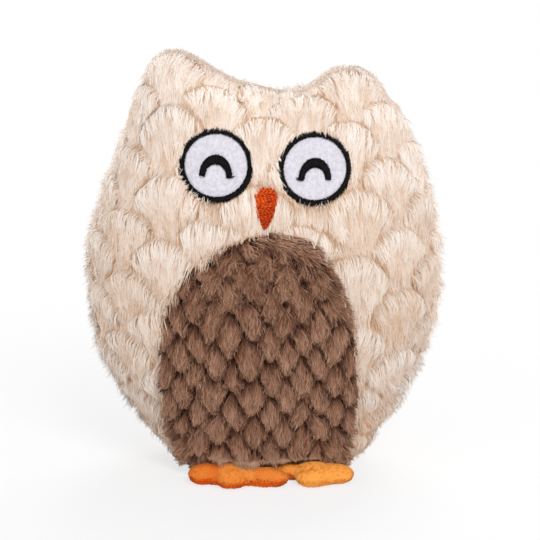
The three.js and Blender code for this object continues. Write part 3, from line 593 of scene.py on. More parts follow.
def growCream(side, density, chance):
    spec = creamStrands
    u, v = scatter(side, density, *spec["rows"], chance)
    place, _ = onBody(side, u, v)
    rootGap = trimGap(place)
    keep = (place[:, 2] > bodyForm["baseTop"] - spec["underBase"]) & (rootGap > -spec["underTrim"])
    if side is front:
        inside, gap = overBelly(place)
        keep &= ~inside & (gap > spec["brushedBack"] * brushedShare(place))
    u, v, rootGap = u[keep], v[keep], rootGap[keep]
    cell, locks, count = cellsOf(u, v, scallops), locksOf(u, v, spec), len(u)
    lean = -spec["converge"] * cell["across"] / scallops["halfWidth"]
    lean = lean + spec["lockTurn"] * (2 * locks["turn"] - 1) + chance.normal(0, spec["turn"], count)
    lean = lean + spec["sway"] * humps(u, v, spec["swaySize"], salts["creamSway"])
    heading = np.stack([np.sin(lean), -np.cos(lean)], -1)
    length = strandLengths(spec, locks, chance)
    stray = chance.random(count) < spec["strays"]
    limit = np.where(stray, spec["strayLength"], cell["next"] + spec["overlap"])
    length = np.minimum(length, np.maximum(limit, spec["shortest"]))
    wispReach = chance.random(count) ** 2
    # Nothing grows over the face: a strand that would cross the felt ends on the stitched edge.
    for _ in range(spec["tries"]):
        ends, middles = (
            onBody(side, *(at + heading[:, k] * length * part for k, at in enumerate((u, v))))[0]
            for part in (1, spec["partWay"]))
        over = (trimGap(ends) < spec["overTrim"][0]) | (trimGap(middles) < spec["overTrim"][1])
        length = np.where(over, length * spec["shorten"], length)
        if side is front:
            inside, gap = overBelly(ends)
            allowed = spec["overBrown"] + spec["wisp"] * wispReach * wispyShare(ends)
            length = np.where(inside & (gap > allowed), length * spec["shorten"], length)
    # Close under an arc the pile curls over it.
    near = np.exp(-(np.maximum(cell["inside"], 0) / spec["nearReach"]) ** 2)
    valley = np.exp(-(cell["next"] / spec["valleyReach"]) ** 2)
    lift = spec["lockLift"] * (locks["lift"] - spec["lockMiddle"]) * (1 - spec["nearCalm"] * near)
    lift = lift + chance.normal(0, spec["lift"], count) + spec["nearLift"] * near

    def placeAt(step):
        bend = spec["nearBend"] * near * math.sin(math.pi * step)
        along = length * step - bend * (length > spec["nearFrom"])
        pull = spec["clump"] * step ** lockEase * locks["toMiddle"]
        return u + heading[:, 0] * along + pull, v + heading[:, 1] * along

    def heightAt(step, atU, atV, on):
        top = creamTop(atU, atV, on)
        if side is front:
            # Wisps lie on top of the brown; elsewhere the cream dips under the brown fringe.
            inside, gap = overBelly(on)
            top = top - spec["dip"] * np.exp(-(gap / spec["dipReach"]) ** 2) * (1 - wispyShare(on))
            top = np.where(inside, np.maximum(top, brownTop(atU, atV, on) + spec["over"] * step), top)
        return np.maximum(top + lift, spec["lowest"]) + stray * spec["strayRise"] * step ** 2

    paths, normals = layStrands(side, count, spec, placeAt, heightAt, creamTop)
    # Close to the side seam strands stand by themselves against the light.
    edge = smooth(np.hypot(u, v) / clothReach(side, u, v), *spec["edge"])
    normals[..., 1] += (spec["facing"] * side["facing"] * (1 - edge))[:, None]
    normals[..., 2] += spec["lowUp"] * (1 - smooth(paths[:, :1, 2], *spec["lowReach"]))
    paths[..., 2] = np.maximum(paths[..., 2], spec["ground"])
    # Painted light and shade: the top is painted lighter, as lit from above, and the lower part darker and
    # warmer, partly more of the warm roots showing and partly painted shade.
    upper, lower = smooth(paths[:, 0, 2], *spec["upper"]), 1 - smooth(paths[:, 0, 2], *spec["lower"])
    tone = spec["tone"] + spec["paintedLightTopTone"] * upper - spec["paintedShadeLowTone"] * lower
    tone = tone + spec["cellTone"] * (2 * chosen(cell["row"], cell["column"], salts["creamCell"]) - 1)
    tone = tone + spec["lockTone"] * (2 * locks["tone"] - 1) * (1 - spec["lockToneNear"] * near)
    tone = tone + spec["humpTone"] * humps(u, v, spec["humpSize"], salts["creamTone"])
    # Painted highlight: strands on the crest just under an arc are painted lighter, and start their colour run
    # past the dark root.
    tone = tone + chance.normal(0, spec["toneSpread"], count) + spec["crestLightTone"] * near
    # In the valley before the next arc the strands darken, partly their warm roots and partly painted shade,
    # less so on the top; near the side seam they are painted lighter, as painted rim light.
    tone = tone - (spec["valleyRootsAndShadeTone"] - spec["upperValley"] * upper) * valley + spec["rimLightTone"] * edge
    crossing = overBelly(paths[:, -1])[0] & (side is front)
    least, more = spec["widthShares"]
    width = spec["width"] * (least + more * chance.random(count))
    strands = {
        "paths": paths, "normals": unit(normals), "tones": tone - spec["crossTone"] * crossing,
        "starts": spec["crestLightStart"] * near,
        "ends": np.clip(spec["endShare"] + length / spec["endLength"], 0, 1),
        "widths": width * np.where(crossing, spec["crossWidth"], 1),
        "rolls": chance.normal(0, spec["roll"], count), "softness": strandSoftness * (1 - edge),
    }
    # Close to the trim only strands that grow away from it are kept; their roots lie under the stitches.
    clear, away = spec["clearOfTrim"]
    kept = (rootGap > clear) | (trimGap(paths[:, -1]) > rootGap + away)
    return {key: values[kept] for key, values in strands.items()}


fringe = {
    "count": 9000, "band": 5.5, "underBase": 1, "length": 4.6, "topLength": 1.7, "middle": 100,
    "ends": [60, 95], "lengthShares": [0.6, 1.2], "stray": 0.05, "strayLength": 1.4, "width": 0.32,
    "widthShares": [0.7, 1.2], "outwards": 0.6, "away": 0.5, "combed": 0.5, "spread": 0.26, "droop": 0.3,
    "rootDepth": -1.4, "rise": 0.6, "ground": 0.7, "tone": 0.68, "humpTone": 0.15, "humpSize": 9,
    "toneSpread": 0.12, "start": 0.4, "roll": 0.5,
}


# Along the side seam the pile of both sides stands outwards and hides the stitches.
def growFringe(side, chance):
    spec = fringe
    reach = lengthsAlong(np.stack([rimReach * np.cos(turns), rimReach * np.sin(turns)], -1))
    turn = np.interp(chance.uniform(0, reach[-1], spec["count"]), reach, turns)
    flat = np.stack([np.cos(turn), np.sin(turn)], -1)
    length = clothReach(side, flat[:, 0], flat[:, 1]) - spec["band"] * chance.random(len(turn))
    u, v = flat[:, 0] * length, flat[:, 1] * length
    on, normal = onBody(side, u, v)
    keep = on[:, 2] > bodyForm["baseTop"] - spec["underBase"]
    u, v, on, normal, flat = u[keep], v[keep], on[keep], normal[keep], flat[keep]
    count = len(u)
    away = np.stack([flat[:, 0], np.zeros(count), flat[:, 1]], -1)
    combed = np.stack([np.zeros(count), np.zeros(count), -spec["combed"] * np.abs(flat[:, 0])], -1)
    turned = chance.normal(0, spec["spread"], (count, 3))
    heading = unit(spec["outwards"] * normal + spec["away"] * away + combed + turned)
    fromMiddle = smooth(np.abs(on[:, 2] - spec["middle"]), *spec["ends"])
    length = mixed(spec["length"], spec["topLength"], fromMiddle)
    length = length * chance.uniform(*spec["lengthShares"], count)
    length = (length * np.where(chance.random(count) < spec["stray"], spec["strayLength"], 1))[:, None]
    top = creamTop(u, v, on)[:, None]
    paths = np.zeros((count, len(strandSteps), 3))
    for k, step in enumerate(strandSteps):
        height = mixed(spec["rootDepth"], spec["rise"] * top, step)
        paths[:, k] = on + normal * height + heading * length * step
        paths[:, k, 2] -= (spec["droop"] * length * step ** 2)[:, 0]
    paths[..., 2] = np.maximum(paths[..., 2], spec["ground"])
    # The fringe is painted paler than the pile beside it, as painted rim light along the silhouette.
    tone = spec["tone"] + spec["humpTone"] * humps(u, v, spec["humpSize"], salts["fringeTone"])
    return {
        "paths": paths, "normals": np.broadcast_to(away[:, None], paths.shape),
        "tones": tone + chance.normal(0, spec["toneSpread"], count),
        "starts": np.full(count, spec["start"]), "ends": np.ones(count),
        "widths": spec["width"] * chance.uniform(*spec["widthShares"], count),
        "rolls": chance.normal(0, spec["roll"], count), "softness": np.zeros(count),
    }


brownStrands = {
    "rows": [-112, 40], "density": 2.9, "length": 8.6, "lengthShares": [0.7, 0.3, 0.3], "shortest": 2.5,
    "overlap": 1.5, "width": 0.45, "widthShares": [0.7, 0.5], "roll": 0.7, "lock": 1.7, "lockLength": 1.8,
    "lockWarp": 0.9, "lockWarpSize": 4, "lockSalts": [71, 72, 73, 74, 75, 76], "clump": 0.75, "converge": 0.5,
    "lockTurn": 0.26, "turn": 0.17, "unruly": [-25, 20], "unrulyTurn": 2.2, "curl": 0.22, "lockCurl": 0.45,
    "tries": 5, "shorten": 0.78, "rootDepth": -2.2, "rises": [0, 0.75, 1.0, 0.9], "lowest": -1.2,
    "lockLift": 1.2, "lift": 0.38, "brushedLift": 1.2, "overCreamLift": 1.0, "relief": 0.5, "underBase": 2,
    "edgeReach": 6, "edgeLean": 0.15, "over": 0.8, "overCream": 0.7, "overBrushed": 2.3, "brushedLength": 9.5,
    "brushedShares": [0.6, 1.1], "brushedFrom": [5, 75], "brushedTurn": 0.85, "fan": 0.6, "fanOut": 0.6,
    "fanDown": 0.5, "corner": 4.0, "cornerTop": [16, 44], "cornerLean": 0.6, "allowedShares": [0.5, 1.5],
    "hemFree": 6, "hemEdge": 4, "hem": [10, 24], "hemLength": 9.0, "hemShares": [0.7, 1.1], "hemOut": 9.5,
    "hemMiddle": -9, "hemReach": 17, "hemMore": 8.0, "hemFull": 1.15, "hemPoint": 0.7,
    "hemLocks": [0.85, 0.3], "hemLight": [0, -0.9, 0.9], "hemGround": 3.2, "hemLow": 11.9, "hemCrown": 43,
    "hemFall": 0.03, "hemOnFeet": [34, 38], "hemLightStart": 0.3, "tone": 0.48, "cellTone": 0.12, "lockTone": 0.26,
    "toneSpread": 0.22, "valleyRootsAndShadeTone": 0.4, "valleyReach": 2.0, "paintedLightLowTone": 0.25, "low": [20, 110],
    "brushedTone": 0.2, "endShare": 0.35, "endLength": 10,
}


def growBrown(chance):
    spec = brownStrands
    u, v = scatter(front, spec["density"], *spec["rows"], chance)
    place, _ = onBody(front, u, v)
    inside, gap = overBelly(place)
    brushed = brushedShare(place)
    keep = inside | (gap < spec["over"] * brushed)
    keep &= place[:, 2] > bodyForm["baseTop"] - spec["underBase"]
    u, v, place, gap, brushed = u[keep], v[keep], place[keep], gap[keep], brushed[keep]
    cell, locks, count = cellsOf(u, v, leaves), locksOf(u, v, spec), len(u)
    across = cell["across"] / leaves["halfWidth"]
    upper = smooth(v, *spec["unruly"])  # the top of the patch is unruly
    lean = spec["lockTurn"] * (1 + spec["unrulyTurn"] * upper) * (2 * locks["turn"] - 1)
    lean = lean - spec["converge"] * across
    lean = lean + (1 + upper) * chance.normal(0, spec["turn"], count)
    edge = np.exp(-(gap / spec["edgeReach"]) ** 2)
    brushed = brushed * edge
    # At the lower corners the brown spreads over the cream.
    corner = 1 - smooth(place[:, 2], *spec["cornerTop"])
    outwards = spec["edgeLean"] * (1 - brushed) + spec["cornerLean"] * corner
    lean = lean + outwards * edge * np.sign(place[:, 0])
    away = unit(place[:, [0, 2]] - spec["brushedFrom"])
    fan = np.arctan2(
        spec["fan"] * away[:, 0] + spec["fanOut"], spec["fanDown"] - spec["fan"] * away[:, 1])
    lean = mixed(lean, fan, spec["brushedTurn"] * brushed)
    heading = np.stack([np.sin(lean), -np.cos(lean)], -1)
    length = strandLengths(spec, locks, chance)
    length = np.minimum(length, np.maximum(cell["inside"] + spec["overlap"], spec["shortest"]))
    brushedLength = spec["brushedLength"] * brushed * chance.uniform(*spec["brushedShares"], count)
    length = np.maximum(length, brushedLength)
    hem = 1 - smooth(place[:, 2], *spec["hem"])
    hemMiddle = np.exp(-((place[:, 0] - spec["hemMiddle"]) / spec["hemReach"]) ** 2)
    hemOut = spec["hemOut"] + spec["hemMore"] * hemMiddle
    hemOut = hemOut * (spec["hemFull"] - spec["hemPoint"] * np.abs(across))
    hemOut = hemOut * (spec["hemLocks"][0] + spec["hemLocks"][1] * locks["size"])
    length = np.maximum(length, hem * spec["hemLength"] * chance.uniform(*spec["hemShares"], count))
    allowed = spec["overCream"] + spec["overBrushed"] * brushed + spec["corner"] * corner
    allowed = allowed * chance.uniform(*spec["allowedShares"], count)
    for _ in range(spec["tries"]):
        ends = onBody(front, u + heading[:, 0] * length, v + heading[:, 1] * length)[0]
        inside, gap = overBelly(ends)
        out = ~inside & (gap > allowed) & (ends[:, 2] > bodyForm["baseTop"] + spec["hemFree"])
        length = np.where(out, length * spec["shorten"], length)
    lift = spec["lockLift"] * (locks["lift"] - 0.5) + chance.normal(0, spec["lift"], count)
    waver = chance.normal(0, spec["curl"], (count, 2))
    curl = 2 * np.stack([locks["turn"], locks["size"]], -1) - 1
    waver = waver + spec["lockCurl"] * (1 + upper[:, None]) * curl

    def placeAt(step):
        pull = spec["clump"] * step ** lockEase * locks["toMiddle"]
        side = waver[:, 0] * math.sin(math.pi * step) + waver[:, 1] * math.sin(2 * math.pi * step)
        atU = u + heading[:, 0] * length * step + pull - heading[:, 1] * side
        return atU, v + heading[:, 1] * length * step + heading[:, 0] * side

    def heightAt(step, atU, atV, on):
        top = brownTop(atU, atV, on) + lift + spec["brushedLift"] * brushed * step
        cream = creamTop(atU, atV, on) + spec["overCreamLift"] * step
        return np.maximum(np.where(overBelly(on)[0], top, np.maximum(top, cream)), spec["lowest"])

    paths, normals = layStrands(front, count, spec, placeAt, heightAt, brownTop)
    # The lowest strands hang outwards and lie on the feet, open to the light.
    normals = unit(unit(normals) + hem[:, None, None] * np.array(spec["hemLight"]))
    paths[..., 1] -= (hemOut * hem)[:, None] * strandSteps ** lockEase
    besideFeet = np.abs(paths[..., 0] - footForm["middleAcross"]) - footForm["reachAcross"]
    overFeet = smooth(-besideFeet, 0, spec["hemEdge"])
    out = -paths[..., 1]
    footTop = spec["hemLow"] - spec["hemFall"] * np.maximum(out - spec["hemCrown"], 0) ** 2
    rest = mixed(spec["hemGround"], footTop, overFeet * smooth(out, *spec["hemOnFeet"]))
    paths[..., 2] = np.maximum(paths[..., 2], rest)
    tone = spec["tone"] + spec["cellTone"] * (2 * chosen(cell["row"], cell["column"], salts["brownCell"]) - 1)
    tone = tone + spec["lockTone"] * (2 * locks["tone"] - 1) + chance.normal(0, spec["toneSpread"], count)
    # Under the tips of the leaf above the strands darken, partly the dark roots showing and partly a painted
    # shadow.
    tone = tone - spec["valleyRootsAndShadeTone"] * np.exp(-(cell["next"] / spec["valleyReach"]) ** 2)
    # Painted light: the lower belly is painted lighter, to make up for the shade its downward-facing pile gets.
    tone = tone + spec["paintedLightLowTone"] * (1 - smooth(place[:, 2], *spec["low"])) + spec["brushedTone"] * brushed
    least, more = spec["widthShares"]
    return {
        # Hem strands start their colour run past the dark root, as painted light where they hang in shade over
        # the feet.
        "paths": paths, "normals": normals, "tones": tone, "starts": spec["hemLightStart"] * hem,
        "ends": np.clip(spec["endShare"] + length / spec["endLength"], 0, 1),
        "widths": spec["width"] * (least + more * chance.random(count)),
        "rolls": chance.normal(0, spec["roll"], count), "softness": np.full(count, strandSoftness),
    }


# Materials.

# One node with its settings and links, each (socket, other node, its output); stops are a ramp's colours.
def addNode(tree, kind, settings=None, links=(), stops=()):
    node = tree.nodes.new(kind)
    for key, value in (settings or {}).items():
        if isinstance(key, str) and hasattr(node, key):
            setattr(node, key, value)
        else:
            node.inputs[key].default_value = value
    for at, (place, colour) in enumerate(stops):
        element = node.color_ramp.elements[at] if at < 2 else node.color_ramp.elements.new(place)
        element.position = place
        element.color = hexToLinear(colour)
    for socket, other, output in links:
        tree.links.new(other.outputs[output], node.inputs[socket])
    return node


def newMaterial(name):
    material = bpy.data.materials.new(name)
    material.use_nodes = True
    material.node_tree.nodes.clear()
    return material, material.node_tree


# Pile and thread: each strand has its own tone between a dark and a light run of colours along its length.
def strandMaterial(name, dark, light, roughness, specular, sheen):
    material, tree = newMaterial(name)
    uv = addNode(tree, "ShaderNodeUVMap", {"uv_map": "OFBake"})
    split = addNode(tree, "ShaderNodeSeparateXYZ", {}, [(0, uv, 0)])
    low, high = (
        addNode(tree, "ShaderNodeValToRGB", {}, [("Fac", split, 1)], stops) for stops in (dark, light))
    mix = addNode(tree, "ShaderNodeMix", {"data_type": "RGBA"}, [(0, split, 0), (6, low, 0), (7, high, 0)])
    shader = addNode(tree, "ShaderNodeBsdfPrincipled", {
        "Roughness": roughness, "IOR": 1.45, "Specular IOR Level": specular, "Sheen Weight": sheen,
    }, [("Base Color", mix, 2)])
    addNode(tree, "ShaderNodeOutputMaterial", {}, [("Surface", shader, 0)])
    return material


# Cloth without drawn strands: soft clouds of colour, and fibres too fine to draw shown as a coarser bump.
def clothMaterial(name, dark, light, cloudSize, fibreSize, fibreDepth):
    material, tree = newMaterial(name)
    place = addNode(tree, "ShaderNodeTexCoord")
    cloud, fibres = (
        addNode(tree, "ShaderNodeTexNoise", {"Scale": 1000 / size, "Detail": detail}, [
            ("Vector", place, "Object")]) for size, detail in ((cloudSize, 3.0), (fibreSize, 2.0)))
    ramp = addNode(tree, "ShaderNodeValToRGB", {}, [("Fac", cloud, 0)], [(0.35, dark), (0.65, light)])
    bump = addNode(
        tree, "ShaderNodeBump", {"Strength": 0.6, "Distance": fibreDepth / 1000}, [("Height", fibres, 0)])
    shader = addNode(tree, "ShaderNodeBsdfPrincipled", {
        "Roughness": 0.95, "IOR": 1.45, "Specular IOR Level": 0.05,
    }, [("Base Color", ramp, 0), ("Normal", bump, 0)])
    addNode(tree, "ShaderNodeOutputMaterial", {}, [("Surface", shader, 0)])
    return material


# Combed polyester plush: pale silky tips over tan roots; the tan run also gives the painted warm shade in the
# valleys and low down.
creamPileMaterial = strandMaterial(
    "combed polyester plush, cream", [(0, "#a27a5a"), (0.55, "#cfa988"), (1, "#e4cbb4")],
    [(0, "#dcc0a6"), (0.55, "#f6ebe1"), (1, "#fefbf8")], 0.85, 0.03, 0.15)
# Fleecy polyester plush: warm brown tufts over nearly black roots.
brownPileMaterial = strandMaterial(
    "fleecy polyester plush, brown", [(0, "#1e0f0a"), (0.5, "#6b4535"), (1, "#84593f")],
    [(0, "#3c2318"), (0.5, "#b0836a"), (1, "#dcb396")], 0.85, 0.03, 0.1)
# Short velvety fleece: bright orange on top of the pile, red-orange where it parts; the red-orange run also
# gives the painted shade where the tone is lowered.
fleecePileMaterial = strandMaterial(
    "short pile polyester fleece, orange", [(0, "#9e3206"), (0.5, "#c64a08"), (1, "#da560c")],
    [(0, "#ee7214"), (0.5, "#ff9a3e"), (1, "#ffb65a")], 0.85, 0.03, 0.05)
# Rayon embroidery thread: smooth and twisted; each thread is painted lighter along the crown of the stitch, a
# painted highlight, and darker at both ends where it dives in, a painted shade.
blackThreadMaterial = strandMaterial(
    "rayon embroidery thread, black", [(0, "#020202"), (0.5, "#060506"), (1, "#020202")],
    [(0, "#050405"), (0.5, "#1a181a"), (1, "#060506")], 0.42, 0.05, 0)
# The orange thread is painted the same way: a painted highlight along its crown and painted shade at both ends.
orangeThreadMaterial = strandMaterial(
    "rayon embroidery thread, orange", [(0, "#6e1000"), (0.5, "#a02204"), (1, "#6a0e00")],
    [(0, "#b8340c"), (0.5, "#f0621e"), (1, "#b8380c")], 0.45, 0.08, 0)
# The cream backing is coloured the tan of the roots, as painted shade where it shows between the strands.
creamBackingPaintedShadeMaterial = clothMaterial("knitted backing, cream", "#c8a588", "#d9bca2", 6, 0.8, 0.4)
brownBackingMaterial = clothMaterial("knitted backing, brown", "#2c1a12", "#452d21", 6, 0.8, 0.4)
fleeceMaterial = clothMaterial(
    "short pile polyester fleece, orange ground", "#e26c18", "#ea7a20", 5, 0.6, 0.3)
blackCoreMaterial = clothMaterial("embroidery underlay, black", "#050505", "#0b0b0b", 4, 0.5, 0.2)
orangeCoreMaterial = clothMaterial("embroidery underlay, orange", "#7c1200", "#a02808", 4, 0.5, 0.2)
# Needled wool felt: matt, a little cool in colour, faintly clouded, with fibres lying every way.
feltMaterial = clothMaterial("needled felt, white", "#cbc7d0", "#dedae2", 1.6, 0.45, 0.12)
print("materials made")


# The sewn shells under the pile.

# A grid of points, closed into a thick shell by a second layer inside it, with its faces outwards.
def thickGrid(name, outer, inner, closed):
    points = np.concatenate([outer.reshape(-1, 3), inner.reshape(-1, 3)])
    under = outer.shape[0] * outer.shape[1]
    index = np.arange(under).reshape(outer.shape[:2])
    wrap = np.concatenate([index, index[:1]]) if closed else index
    top = np.stack([wrap[:-1, :-1], wrap[1:, :-1], wrap[1:, 1:], wrap[:-1, 1:]], -1).reshape(-1, 4)
    lines = [wrap[:, -1], wrap[::-1, 0]] + ([] if closed else [wrap[0], wrap[-1, ::-1]])
    strips = [np.stack([line[:-1], line[1:], line[1:] + under, line[:-1] + under], -1) for line in lines]
    faces = np.concatenate([top, top[:, ::-1] + under] + strips)
    a, b, c, d = (points[faces[:, k]] for k in range(4))
    volume = np.sum(a * np.cross(b, c)) + np.sum(a * np.cross(c, d))
    return makeMesh(name, points, [faces if volume > 0 else faces[:, ::-1]])


shellForm = {
    "rings": 120, "innermost": 0.004, "thickness": 1.6, "lowest": 1.2, "share": 0.55, "sink": 1.7,
    "underBrown": -3.5, "underReach": 4,
    "bellyMiddle": [0.0, 68.0], "bellyRings": 90, "bellyInnermost": 0.01, "bellyThickness": 1.4,
    "bellyLowest": 2.2, "bellySink": 2.4, "bellySeam": -1.5, "bellyEdge": 0.96,
}


# Cloth at its height over the sewn body, kept off the floor.
def layeredCloth(name, place, normal, high, thickness, lowest):
    layers = [place + normal * level[..., None] for level in (high, high - thickness)]
    for layer in layers:
        layer[..., 2] = np.maximum(layer[..., 2], lowest)
    return thickGrid(name, *layers, True)


# Rings from the middle out to the side seam; below the base seam the cloth is drawn in to it.
def creamShell(name, side):
    shares = np.linspace(shellForm["innermost"], 1, shellForm["rings"])
    angles = turns[:-1]
    reach = side["rimLengths"][:-1]
    u = np.cos(angles)[:, None] * reach[:, None] * shares[None]
    v = np.sin(angles)[:, None] * reach[:, None] * shares[None]
    place, normal = onBody(side, u, v)
    high = shellForm["share"] * creamTop(u, v, place) - shellForm["sink"]
    inside, gap = overBelly(place)
    covered = smooth(gap, 0, shellForm["underReach"])
    under = inside & (place[..., 1] < 0)
    high = np.where(under, mixed(high, shellForm["underBrown"], covered), high)
    return layeredCloth(name, place, normal, high, shellForm["thickness"], shellForm["lowest"])


frontCloth, backCloth = creamShell("front_plush", front), creamShell("back_plush", back)
finishPiece(frontCloth, creamBackingPaintedShadeMaterial, "body", [
    "front_panel", "side_seam", "body_fill"])
finishPiece(backCloth, creamBackingPaintedShadeMaterial, "body", ["back_panel"])


# The belly patch, let into the front: rings from its middle out to its seam.
def bellyShell():
    middle = np.array(shellForm["bellyMiddle"])
    shares = np.linspace(shellForm["bellyInnermost"], 1, shellForm["bellyRings"])
    flat = middle + (bellyRim[:, None] - middle) * shares[None, :, None]
    cloth = np.array([[clothPlace(x, z) for x, z in line] for line in flat])
    u, v = cloth[..., 0], cloth[..., 1]
    place, normal = onBody(front, u, v)
    high = brownTop(u, v, place) - shellForm["bellySink"]
    high = mixed(high, shellForm["bellySeam"], smooth(shares, shellForm["bellyEdge"], 1)[None])
    return layeredCloth(
        "belly_plush", place, normal, high, shellForm["bellyThickness"], shellForm["bellyLowest"])


finishPiece(bellyShell(), brownBackingMaterial, "body", ["belly_panel", "belly_seam"])
print("shells made")


# Pile.

mostStrands = 12000  # in one piece


# Pale fibres let light through, so the cream pile casts no shadow of its own; the cloth under it does.
def plantPile(name, strands, material, shadows):
    count = len(strands["widths"])
    for part, index in enumerate(np.array_split(np.arange(count), math.ceil(count / mostStrands))):
        piece = strandMesh(f"{name}_{part + 1}", **{key: values[index] for key, values in strands.items()})
        finishPiece(piece, material, "body")
        piece.visible_shadow = shadows
    print(name, count)


chance = np.random.default_rng(5)
for name, side, density in (("front", front, "density"), ("back", back, "backDensity")):
    strands = growCream(side, creamStrands[density], chance)
    plantPile(f"{name}_pile", strands, creamPileMaterial, False)
for name, side in (("front", front), ("back", back)):
    plantPile(f"{name}_fringe", growFringe(side, chance), creamPileMaterial, False)
plantPile("belly_pile", growBrown(chance), brownPileMaterial, True)


# Satin stitch: round rayon threads laid side by side across a band, each drawn down at both ends.
satin = {
    "sides": [-1.0, -0.86, -0.45, 0.0, 0.45, 0.86, 1.0], "lifts": [-0.7, 0.55, 0.92, 1.0, 0.92, 0.55, -0.7],
    "taper": [0.8, 1.0, 1.0, 1.0, 1.0, 0.9], "thread": 0.52, "threadShares": [0.85, 1.15], "slant": 0.34,
    "pitch": 0.42, "ragIn": 0.08, "uneven": 0.08, "roll": 0.3,
    "core": 0.62, "coreSides": 9, "coreReach": 0.46, "coreRound": 0.92, "coreUnder": 0.2,
}
eyeForm = {
    "feltRadius": 16.7, "feltSink": 0.4, "feltThickness": 1.5, "puckerWidth": 1.6, "pucker": 0.3,
    "feltAngles": 96, "feltRings": 40, "innermost": 0.002, "clouds": 0.12, "cloudSize": 6, "fibres": 0.05,
    "fibreSize": 1.4, "arcHalfWidth": 6.8, "arcRise": 8.4, "arcTop": 4.8, "arcEnd": 2.9, "arcDrop": 5.2,
    "arcSteps": 400, "tailThreads": 4, "tailStart": 5.6, "tailEnd": 10.0, "tailMore": [-0.5, 0.4],
    "tailLow": -0.2, "tailSpread": 0.25, "tailRise": 0.8, "tailLifts": [0.4, 0.75, 0.6, 0.1],
    "tailWidths": [0.4, 0.52], "tailSide": {"left": 1, "right": -1},
}


# A smooth centre line on the face: evenly spaced points, outward directions and stroke widths.
def ringLine(count):
    angle = np.linspace(0, 2 * math.pi, count, endpoint=False)
    outwards = np.stack([np.cos(angle), np.sin(angle)], -1)
    middle = (faceForm["eyeRing"] - faceForm["eyeStroke"]) / 2
    return outwards * middle, outwards, np.full(count, faceForm["eyeStroke"])


def arcLine(count):
    halfWidth, rise = eyeForm["arcHalfWidth"], eyeForm["arcRise"]
    dense = np.linspace(math.pi, 0, eyeForm["arcSteps"])
    reach = lengthsAlong(np.stack([halfWidth * np.cos(dense), rise * np.sin(dense)], -1))
    angle = np.interp(np.linspace(0, reach[-1], count), reach, dense)
    points = np.stack([halfWidth * np.cos(angle), rise * np.sin(angle) - eyeForm["arcDrop"]], -1)
    outwards = unit(np.stack([rise * np.cos(angle), halfWidth * np.sin(angle)], -1))
    return points, outwards, mixed(eyeForm["arcEnd"], eyeForm["arcTop"], np.sin(angle) ** 2)


bands = {
    "ring": {
        "line": ringLine, "coreSteps": 180, "threads": int(math.pi * faceForm["eyeRing"] / satin["pitch"]),
        "low": -1.9, "crown": 0.85, "ragOut": 0.3, "closed": True,
    },
    "arc": {
        "line": arcLine, "coreSteps": 60, "threads": 76,
        "low": -0.5, "crown": 0.7, "ragOut": 0.09, "closed": False,
    },
}


# The core of a stitched band, which closes the gaps between its threads.
def bandCore(name, place, band):
    points, outwards, strokes = band["line"](band["coreSteps"])
    side = np.linspace(-1, 1, satin["coreSides"])
    across, up = (
        points[:, None, k] + outwards[:, None, k] * side * strokes[:, None] * satin["coreReach"]
        for k in (0, 1))
    arch = np.sqrt(1 - satin["coreRound"] * side ** 2)[None]
    top = place(across, up, band["low"] + (band["crown"] * satin["core"] - band["low"]) * arch)
    return thickGrid(name, top, place(across, up, band["low"] - satin["coreUnder"]), band["closed"])


# Threads and hairs on the face are shaded as the cloth under them.
def faceStrands(name, place, paths, widths, tones, start, rolls, taper=strandWidths):
    corners = place(np.array([1.0, -1.0, 0, 0]), np.array([0, 0, 1.0, -1.0]), 0)
    facing = unit(np.cross(corners[0] - corners[1], corners[2] - corners[3]))
    count = len(widths)
    return strandMesh(
        name, paths, np.broadcast_to(facing, paths.shape), widths, tones,
        np.full(count, start), np.ones(count), rolls, taper)


def satinThreads(name, place, band, chance):
    points, outwards, strokes = band["line"](band["threads"])
    count = len(points)
    along = np.stack([-outwards[:, 1], outwards[:, 0]], -1)
    rag = [1 + np.abs(chance.normal(0, share, count))[:, None] for share in (satin["ragIn"], band["ragOut"])]
    slant = chance.normal(0, satin["slant"], count)
    lifts = np.array(satin["lifts"])[None] * band["crown"] + chance.normal(0, satin["uneven"], (count, 1))
    sides = np.array(satin["sides"])[None]
    reach = np.where(sides < 0, *rag) * sides * strokes[:, None] / 2
    shift = slant[:, None] * sides
    across, up = (
        points[:, k, None] + outwards[:, k, None] * reach + along[:, k, None] * shift for k in (0, 1))
    widths = satin["thread"] * chance.uniform(*satin["threadShares"], count)
    return faceStrands(
        name, place, place(across, up, lifts), widths, chance.random(count), 0.0,
        chance.normal(0, satin["roll"], count), np.array(satin["taper"]))


def feltDisc(name, place):
    angle = np.linspace(-math.pi, math.pi, eyeForm["feltAngles"], endpoint=False)[:, None]
    reach = eyeForm["feltRadius"] * np.linspace(eyeForm["innermost"], 1, eyeForm["feltRings"])[None]
    across, up = reach * np.cos(angle), reach * np.sin(angle)
    pulled = smooth(reach, eyeForm["feltRadius"] - eyeForm["puckerWidth"], eyeForm["feltRadius"])
    lift = eyeForm["clouds"] * humps(across, up, eyeForm["cloudSize"], salts["felt"])
    lift = lift + eyeForm["fibres"] * humps(across, up, eyeForm["fibreSize"], salts["feltFibres"])
    lift = lift - eyeForm["pucker"] * pulled - eyeForm["feltSink"]
    return thickGrid(name, place(across, up, lift), place(across, up, lift - eyeForm["feltThickness"]), True)


ringHairs = {
    "count": {"left": 60, "right": 16}, "turns": {"left": (196, 262), "right": (205, 300)}, "wander": 0.08,
    "outside": [0.6, 2.6], "inside": [0.2, 2.4], "lifts": [-0.5, 1.0, 1.35, 1.2], "uneven": 0.12,
    "widths": [0.2, 0.34], "tones": [0.3, 0.8], "start": 0.4, "roll": 0.5,
}


